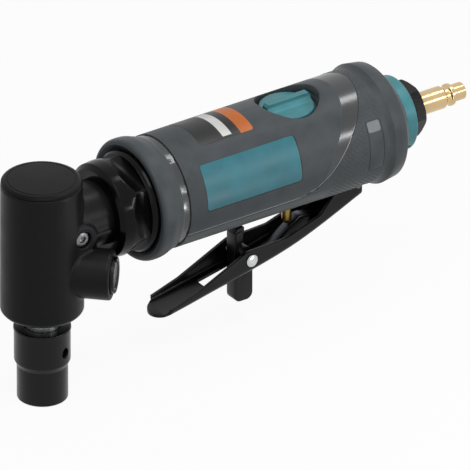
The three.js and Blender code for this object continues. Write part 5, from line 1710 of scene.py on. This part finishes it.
@dataclass
class Inlet(Assembly):
    """The exhaust ring with its silencer, the inlet bushing and the plug nipple."""

    body: str = "grinder"
    ring_body: str = "exhaust_ring"
    ring: Triple = (143.6, 153.1, 13.9)
    ring_wall: float = 1.3
    rear_wall: float = 1.5
    ring_bore: float = 10.9
    slots: int = 5
    slot_size: Pair = (2.2, 3.2)
    slot_spread: float = 26.0
    felt: Triple = (139.8, 151.2, 12.35)
    across: float = 18.2
    hex_start: float = 153.4
    hex_end: float = 159.7
    hex_front: Pair = (0.35, 0.5)
    hex_rear: Pair = (0.75, 1.15)
    hex_play: float = 0.1
    spigot: Pair = (132.3, 7.5)
    bore: float = 3.4
    thread: Pair = (147.8, 4.9)
    thread_bevel: Pair = (0.5, 0.8)
    nipple: tuple[Pair, ...] = (
        (149.3, 2.1), (149.3, 4.8), (158.6, 4.8), (158.8, 4.2), (172.4, 4.2), (173.3, 3.3), (174.8, 3.3),
        (175.3, 4.1), (176.5, 4.1), (177.0, 3.2), (181.7, 3.2), (181.7, 2.1),
    )

    def build(self) -> None:
        """Builds the inlet end."""
        self._exhaust()
        self._bushing()
        self._nipple()

    def _exhaust(self) -> None:
        """Turns the exhaust ring, cuts its slots, and turns the felt inside it."""
        start, end, radius = self.ring
        inside, wall, bore = radius - self.ring_wall, end - self.rear_wall, self.ring_bore
        outer = [(start, inside), (start, radius), (end, radius), (end, bore)]
        profile = [*Forge.rounded(outer, 0.7, 5), (wall, bore), (wall, inside)]
        ring = Forge.turned("exhaust_ring_form", profile, Axis.X, 128)
        width, length = self.slot_size
        outline = Forge.stadium(wall - length, wall, width / 2)
        slot = Forge.plate("slot", outline, -radius - OVER, -inside + OVER, axis="z")
        first = -self.slot_spread * (self.slots - 1) / 2
        Forge.combine("DIFFERENCE", ring, PATTERN.around(slot, self.slots, self.slot_spread, Axis.X, first=first))
        Forge.soften(ring, 0.15, 40, 2)
        self.show(ring, self.ring_body, TEAL, "exhaust_ring")
        front, back, reach = self.felt
        profile = Forge.rounded([(front, bore), (front, reach), (back, reach), (back, bore)], 0.5)
        self.show(Forge.turned("silencer_form", profile, Axis.X), self.body, FELT_GREY, "silencer")

    def _bushing(self) -> None:
        """Turns the inlet bushing's spigot and mills its hexagon."""
        start, end = self.hex_start, self.hex_end
        corner = self.across / 2 / math.cos(math.pi / 6)
        hexagon = Forge.rod("inlet_bushing_form", corner, start, end, Axis.X, 6)
        (front, inset), (back, drop), wide = self.hex_front, self.hex_rear, corner + self.hex_play
        blank = [(start, 0), (start, corner - inset), (start + front, wide), (end - back, wide)]
        blank += [(end, corner - drop), (end, 0)]
        Forge.combine("INTERSECT", hexagon, Forge.turned("blank", blank, Axis.X, 96))
        front, radius = self.spigot
        Forge.combine("UNION", hexagon, Forge.rod("spigot", radius, front, start + OVER / 2, Axis.X, 64))
        deep, thread = self.thread
        depth, rise = self.thread_bevel
        bores = [(front - OVER, 0), (front - OVER, self.bore), (deep, self.bore), (deep, thread)]
        bores += [(end - depth, thread), (end + depth, thread + rise), (end + depth, 0)]
        Forge.combine("DIFFERENCE", hexagon, Forge.turned("bore", bores, Axis.X, 64))
        Forge.soften(hexagon, 0.18, 25, 2)
        self.show(hexagon, self.body, GLOSS_BLACK, "inlet_bushing", angle=26)

    def _nipple(self) -> None:
        """Turns the plug nipple."""
        nipple = Forge.turned("plug_nipple_form", Forge.rounded(self.nipple, 0.35, 4), Axis.X, 96)
        self.show(nipple, self.body, BRASS, "plug_nipple")


@dataclass
class ThrottleLever(Assembly):
    """The pressed throttle lever, its pins and its bent strip, and the safety catch in it."""

    body: str = "throttle_lever"
    catch_body: str = "safety_catch"
    width: float = 14.0
    thickness: float = 1.2
    corner: float = 2.4
    rail: tuple[Pair, ...] = ((46.3, -49.2), (64.0, -45.7), (103.0, -36.9), (133.4, -24.8))
    stations: int = 60
    wall_top: float = 22.0
    wall: tuple[Pair, ...] = ((50.5, 2.5), (63.0, 4.0), (84.0, 9.2), (93.5, 7.2), (101.0, 5.6), (115.6, 5.0))
    side_foot: tuple[Pair, ...] = ((137.0, -28.0), (103.0, -41.0), (64.0, -50.0))
    ear_start: float = 126.5
    pivot: Pair = (130.5, -18.3)
    pivot_bore: float = 1.62
    ear_radius: float = 3.4
    tongue: Triple = (11.6, 51.6, 5.6)
    shoulder: Pair = (-0.9, 0.1)
    heights: Pair = (-56.0, -10.0)
    slot: Quad = (68.5, 91.6, 6.4, 1.2)
    safety_pin: Pair = (85.5, -36.1)
    safety_bore: float = 1.55
    pin_radius: float = 1.5
    pin_bevel: float = 0.35
    pin_head: Triple = (2.35, 0.9, 0.5)
    pin_dome: Triple = (0.15, 0.5, 1.2)
    pin_play: float = 0.05
    lever_pin_length: float = 19.2
    strip_width: float = 4.2
    strip_thickness: float = 1.0
    strip_gap: float = 0.15
    strip_crest: float = -27.9
    strip_bends: tuple[float, ...] = (92.6, 98.4, 109.5, 110.9, 118.0)
    strip_lean: float = 0.5
    catch_width: float = 4.9
    catch_bore: float = 1.62
    catch_front: float = 81.2
    catch_back: float = 89.0
    tab: Pair = (-54.2, 2.6)
    arm_top: float = -24.5
    arm_front: float = 82.4
    arm_corner: float = -26.6
    arm_back: float = 85.4
    arm_shoulder: float = -26.0
    arm_neck: Pair = (84.2, -30.2)
    arm_pad: Quad = (81.7, 84.6, -30.6, 0.5)
    pad_drops: Pair = (1.6, 1.2)

    def build(self) -> None:
        """Builds the lever's pieces."""
        self._lever()
        self._pins()
        self._strip()
        self._catch()

    def _underside(self) -> list[Pair]:
        """Gives points along the lever's underside, from tip to rear.

        Returns:
            Points of x and z.
        """
        return Forge.flowing(self.rail, self.stations // (len(self.rail) - 1))

    def _foot_at(self, x: float) -> float:
        """Gives the height of the underside at a place along the lever.

        Args:
            x: The place.

        Returns:
            The height.
        """
        points = self._underside()
        for a, b in zip(points, points[1:]):
            if a[0] <= x <= b[0]:
                return a[1] + (b[1] - a[1]) * (x - a[0]) / (b[0] - a[0])
        return points[0][1] if x < points[0][0] else points[-1][1]

    def _section(self, x: float, foot: float) -> list[Triple]:
        """Gives the channel's section at a station.

        Args:
            x: The station.
            foot: The height of its underside.

        Returns:
            Its points, all round.
        """
        half, corner, thick, top = self.width / 2, self.corner, self.thickness, self.wall_top
        side, small, quarter = half - corner, corner - thick, math.pi / 2
        skin = [(-half, top), *Forge.arc(-side, corner, corner, 2 * quarter, 3 * quarter, 7)]
        skin += [*Forge.arc(side, corner, corner, -quarter, 0, 7), (half, top), (half - thick, top)]
        skin += Forge.arc(side, corner, small, 0, -quarter, 7)
        skin += [*Forge.arc(-side, corner, small, 3 * quarter, 2 * quarter, 7), (-half + thick, top)]
        return [(x, y, foot + z) for y, z in skin]

    def _lever(self) -> None:
        """Presses the channel, trims its walls and its tongue, and cuts its slot and bores."""
        under = self._underside()
        lever = Forge.grid("throttle_lever_form", [self._section(x, z) for x, z in under], closed=True)
        tip_x, tip_z = self.rail[0]
        rear, half = self.side_foot[0][0], self.width / 2 + OVER
        ear = self.pivot[1] + self.ear_radius
        tops = [(x, self._foot_at(x) + height) for x, height in self.wall]
        side = [(tip_x - 2, tip_z - 4), (tip_x - 2, tip_z + self.wall[0][1]), *tops, (self.ear_start, ear)]
        side += [(rear, ear), *self.side_foot]
        Forge.combine("INTERSECT", lever, Forge.plate("side", Forge.eased(side, 5.0), -half, half))
        wide, end, reach = self.tongue
        inner, outer = self.shoulder
        nose = [math.pi / 2 + math.pi * k / 24 for k in range(25)]
        plan = [(tip_x + reach + reach * math.cos(a), wide / 2 * math.sin(a)) for a in nose]
        edge = [(end + inner, wide / 2), (end + outer, half), (rear, half)]
        plan += [(x, -y) for x, y in edge] + edge[::-1]
        low, high = self.heights
        Forge.combine("INTERSECT", lever, Forge.plate("plan", plan, low, high, axis="z"))
        start, stop, gap, round_size = self.slot
        outline = Forge.stadium(start, stop, gap / 2, round_size)
        window = Forge.plate("window", outline, low, self.safety_pin[1], axis="z")
        bores = [self._bore(self.pivot, self.pivot_bore), self._bore(self.safety_pin, self.safety_bore)]
        Forge.combine("DIFFERENCE", lever, window, *bores)
        Forge.soften(lever, 0.28, 40, 3)
        self.show(lever, self.body, BLACK_LEVER, "throttle_lever")

    def _bore(self, at: Pair, radius: float) -> Piece:
        """Gives the cutter of a bore right across the lever.

        Args:
            at: Where it lies, as x and z.
            radius: Its radius.

        Returns:
            The cutter.
        """
        past = self.width / 2 + 2 * OVER
        return self._cross("bore", Forge.slug(-past, past, radius), at)

    def _cross(self, name: str, profile: Sequence[Pair], at: Pair, steps: int = 48) -> Piece:
        """Turns a profile about a line across the tool.

        Args:
            name: The piece's name.
            profile: Points of distance from the middle and radius.
            at: Where the line lies, as x and z.
            steps: How many facets it has.

        Returns:
            The piece.
        """
        x, z = at
        return Forge.spin(Forge.turned(name, profile, Axis.Z, steps, (x, 0, z)), 90, "x", (x, 0, z))

    def _pins(self) -> None:
        """Turns the lever's pin and the headed pin of the safety catch."""
        reach, radius, bevel = self.lever_pin_length / 2, self.pin_radius, self.pin_bevel
        end = [(reach - bevel, radius), (reach, radius - bevel), (reach, 0)]
        rod = [(-s, r) for s, r in reversed(end)] + end
        self.show(self._cross("lever_pin_form", rod, self.pivot), "grinder", PIN_STEEL, "lever_pin")
        wide, high, dome = self.pin_head
        drop, rim, crown = self.pin_dome
        inner = self.width / 2 + self.pin_play
        outer = inner + high
        head = [(inner, radius), (inner, wide), (outer - dome, wide), (outer - drop, wide - rim)]
        head = Forge.rounded([*head, (outer, wide - crown), (outer, 0)], 0.15)
        whole = [(-s, r) for s, r in reversed(head)] + head
        self.show(self._cross("safety_pin_form", whole, self.safety_pin, 64), self.body, BARE_STEEL, "safety_pin")

    def _strip(self) -> None:
        """Bends the lever's strip."""
        thick, crest, half = self.strip_thickness, self.strip_crest, self.strip_width / 2
        tail, bend, rise, fall, end = self.strip_bends
        web = self.thickness + self.strip_gap
        tail_z, bend_z, end_z = (self._foot_at(x) + web for x in (tail, bend, end))
        under = [(tail, tail_z), (bend, bend_z), (rise, crest - thick), (fall, crest - thick), (end, end_z)]
        over = [(end, end_z + thick), (fall + self.strip_lean, crest), (rise, crest)]
        over += [(bend, bend_z + thick), (tail, tail_z + thick)]
        strip = Forge.plate("lever_strip_form", Forge.eased([*under, *over], 0.9, 4), -half, half)
        Forge.soften(strip, 0.15, 50, 2)
        # The strip's darker steel is painted shade.
        self.show(strip, self.body, STRIP_STEEL_PAINTED_SHADE, "lever_strip")

    def _catch(self) -> None:
        """Cuts the safety catch's bar, with its rounded tab and arm."""
        px, pz = self.safety_pin
        reach, eye = self.arm_top - pz, self.catch_back - px
        foot, radius = self.tab
        turn = math.acos((self.arm_front - px) / reach)
        outline = [(self.catch_front, foot + radius), (self.catch_front, self.arm_corner)]
        outline += Forge.arc(px, pz, reach, turn, math.acos((self.arm_back - px) / reach))
        outline += [(self.arm_back, self.arm_shoulder), self.arm_neck, *Forge.arc(px, pz, eye, math.tau * 0.28, 0)]
        for middle, first in ((self.catch_back - radius, 0.0), (self.catch_front + radius, -math.pi / 2)):
            outline += Forge.arc(middle, foot + radius, radius, first, first - math.pi / 2, 8)
        half = self.catch_width / 2
        catch = Forge.plate("safety_lever_form", outline, -half, half)
        start, end, low, proud = self.arm_pad
        front, back = self.pad_drops
        pad = [(start, self.arm_top - front), (end, self.arm_top - back), (end, low), (start, low)]
        side = half + proud
        Forge.combine("UNION", catch, Forge.plate("pad", Forge.eased(pad, 1.2), -side, side))
        Forge.combine("DIFFERENCE", catch, self._bore(self.safety_pin, self.catch_bore))
        Forge.soften(catch, 0.45, 50, 3)
        self.show(catch, self.catch_body, BLACK_LEVER, "safety_lever")


@dataclass
class Works(Assembly):
    """The pieces inside, whose CAD solids stay and get their finishes."""

    finishes: dict[str, Finish] = field(
        default_factory=lambda: {
            "upper_spindle_bearing": RING_STEEL,
            "lower_spindle_bearing": RING_STEEL,
            "bevel_gear": BARE_STEEL,
            "lock_spring": WIRE_STEEL,
            "bevel_pinion": BARE_STEEL,
            "pinion_front_bearing": RING_STEEL,
            "pinion_spacer": MOTOR_STEEL,
            "pinion_rear_bearing": RING_STEEL,
            "pinion_circlip": WIRE_STEEL,
            "front_end_plate": MOTOR_STEEL,
            "rotor_front_bearing": RING_STEEL,
            "motor_cylinder": MOTOR_STEEL,
            "rotor": MOTOR_STEEL,
            "rotor_vane_1": FIBRE,
            "rotor_vane_2": FIBRE,
            "rotor_vane_3": FIBRE,
            "rotor_vane_4": FIBRE,
            "rotor_vane_5": FIBRE,
            "rear_end_plate": MOTOR_STEEL,
            "rotor_rear_bearing": RING_STEEL,
            "motor_housing": ALUMINIUM,
            "inlet_seal": RUBBER,
            "regulator_o_ring": RUBBER,
            "regulator_clip": WIRE_STEEL,
            "valve_seat": VALVE_BRASS,
            "valve_spring": WIRE_STEEL,
            "stem_o_ring": RUBBER,
            "safety_spring": WIRE_STEEL,
        }
    )

    def dress(self, nodes: dict[str, Piece]) -> None:
        """Gives each carried-over solid its finish.

        Args:
            nodes: The CAD nodes by name.
        """
        for name, finish in self.finishes.items():
            data = nodes[name].data
            data.materials.clear()
            data.materials.append(SHOP.material(finish))
            LOG.info("%s: %s", name, finish.name)


@dataclass(frozen=True)
class Lamp:
    """A soft rectangular light: where it hangs in metres, its two sides and its power in watts."""

    name: str
    place: Triple
    width: float
    height: float
    power: float


@dataclass
class Studio:
    """The pale floor and the soft lights, against a white background that only looks and reflections see."""

    floor_drop: float = 0.0004
    floor_half: float = 6.0
    floor_grey: float = 0.2
    shadow_share: float = 0.06
    world_light: float = 0.1
    middle: Triple = (0.062, -0.004, -0.022)
    lamps: tuple[Lamp, ...] = (
        Lamp("upper_strip", (0.46, -0.01, 0.68), 0.14, 0.4, 1.35),
        Lamp("front_strip", (0.46, -0.66, 0.22), 0.45, 0.065, 1.35),
        Lamp("low_card", (0.164, -0.235, -0.0715), 0.036, 0.03, 0.09),
        Lamp("left_panel", (-0.62, -0.32, 0.30), 0.3, 0.5, 0.3),
        Lamp("key_panel", (-0.10, -0.36, 0.74), 0.5, 0.5, 3.1),
    )

    def build(self, low: Vector) -> None:
        """Builds the studio.

        Args:
            low: The lowest corner of the tool's box.
        """
        self._floor(low[2] - self.floor_drop)
        self._world()
        for lamp in self.lamps:
            self._hang(lamp)

    def _floor(self, z: float) -> None:
        """Lays the floor.

        Args:
            z: Its height.
        """
        half = self.floor_half
        data = bpy.data.meshes.new("studio_floor")
        corners = [(x, y, z) for x, y in Forge.box(-half, half, -half, half)]
        data.from_pydata(corners, [], [(0, 1, 2, 3)])
        floor = bpy.data.objects.new("studio_floor", data)
        bpy.context.scene.collection.objects.link(floor)
        paint = bpy.data.materials.new("studio_floor_paint")
        paint.use_nodes = True
        tree = paint.node_tree
        shader = next(n for n in tree.nodes if n.type == "BSDF_PRINCIPLED")
        tint = tree.nodes.new("ShaderNodeMix")
        tint.data_type = "RGBA"
        tint.inputs["A"].default_value = (self.floor_grey, self.floor_grey, self.floor_grey, 1)
        tint.inputs["B"].default_value = (1, 1, 1, 1)
        tree.links.new(self._seen(tree), tint.inputs["Factor"])
        tree.links.new(tint.outputs["Result"], shader.inputs["Base Color"])
        shader.inputs["Roughness"].default_value = 0.9
        shader.inputs["Specular IOR Level"].default_value = 0.0
        glow = tree.nodes.new("ShaderNodeEmission")
        mix = tree.nodes.new("ShaderNodeMixShader")
        share = tree.nodes.new("ShaderNodeMath")
        share.operation = "MULTIPLY"
        share.inputs[1].default_value = 1 - self.shadow_share
        tree.links.new(self._seen(tree), share.inputs[0])
        tree.links.new(share.outputs[0], mix.inputs[0])
        tree.links.new(shader.outputs[0], mix.inputs[1])
        tree.links.new(glow.outputs[0], mix.inputs[2])
        output = next(n for n in tree.nodes if n.type == "OUTPUT_MATERIAL")
        tree.links.new(mix.outputs[0], output.inputs["Surface"])
        data.materials.append(paint)
        floor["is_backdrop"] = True

    @staticmethod
    def _seen(tree: Tree) -> Socket:
        """Tells whether a ray comes from the camera, a reflection or glass.

        Args:
            tree: The nodes that it is added to.

        Returns:
            One for such a ray, and zero for the others.
        """
        path = tree.nodes.new("ShaderNodeLightPath")
        total = path.outputs["Is Camera Ray"]
        for kind in ("Is Glossy Ray", "Is Transmission Ray"):
            add = tree.nodes.new("ShaderNodeMath")
            add.operation = "MAXIMUM"
            tree.links.new(total, add.inputs[0])
            tree.links.new(path.outputs[kind], add.inputs[1])
            total = add.outputs[0]
        return total

    def _world(self) -> None:
        """Makes the world white to look at, and an even soft light on the tool."""
        world = bpy.data.worlds.new("studio_world")
        bpy.context.scene.world = world
        world.use_nodes = True
        tree = world.node_tree
        back = tree.nodes["Background"]
        back.inputs["Color"].default_value = (1, 1, 1, 1)
        span = tree.nodes.new("ShaderNodeMapRange")
        span.inputs["To Min"].default_value = self.world_light
        span.inputs["To Max"].default_value = 1.0
        tree.links.new(self._seen(tree), span.inputs["Value"])
        tree.links.new(span.outputs["Result"], back.inputs["Strength"])

    def _hang(self, lamp: Lamp) -> None:
        """Hangs a light that faces the tool.

        Args:
            lamp: The light.
        """
        light = bpy.data.lights.new(lamp.name, "AREA")
        light.shape = "RECTANGLE"
        light.size = lamp.width
        light.size_y = lamp.height
        light.energy = lamp.power
        made = bpy.data.objects.new(lamp.name, light)
        made.location = lamp.place
        made.rotation_euler = (Vector(self.middle) - made.location).to_track_quat("-Z", "Y").to_euler()
        bpy.context.scene.collection.objects.link(made)


@dataclass
class CameraRig:
    """The long-lens camera at the photograph's angle."""

    target: Triple = (55.5, -39.7, -22.1)
    azimuth: float = -34.8
    elevation: float = 28.7
    width: float = 165.9
    lens: float = 1600.0
    sensor: float = 36.0

    def build(self) -> None:
        """Builds the camera and makes it the scene's own."""
        data = bpy.data.cameras.new("camera")
        data.lens = self.lens
        data.sensor_width = self.sensor
        data.clip_start = 0.1
        data.clip_end = 60
        camera = bpy.data.objects.new("camera", data)
        turn, rise = math.radians(self.azimuth), math.radians(self.elevation)
        back = Vector((math.sin(turn) * math.cos(rise), -math.cos(turn) * math.cos(rise), math.sin(rise)))
        away = self.lens / self.sensor * self.width * MM
        camera.location = Vector(self.target) * MM + back * away
        camera.rotation_euler = (-back).to_track_quat("-Z", "Y").to_euler()
        bpy.context.scene.collection.objects.link(camera)
        bpy.context.scene.camera = camera


def main() -> None:
    """Builds the whole scene, piece by piece."""
    logging.basicConfig(level=logging.INFO, format="%(message)s")
    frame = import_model()
    low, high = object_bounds()
    bpy.context.scene.view_settings.view_transform = "Standard"
    for assembly in (AngleHead(), ColletDrive(), ClampNut(), Grip(), Regulator(), Inlet(), ThrottleLever()):
        assembly.build()
    Works().dress(frame["nodes"])
    Studio().build(low)
    CameraRig().build()
    low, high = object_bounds()


if __name__ == "__main__":
    main()
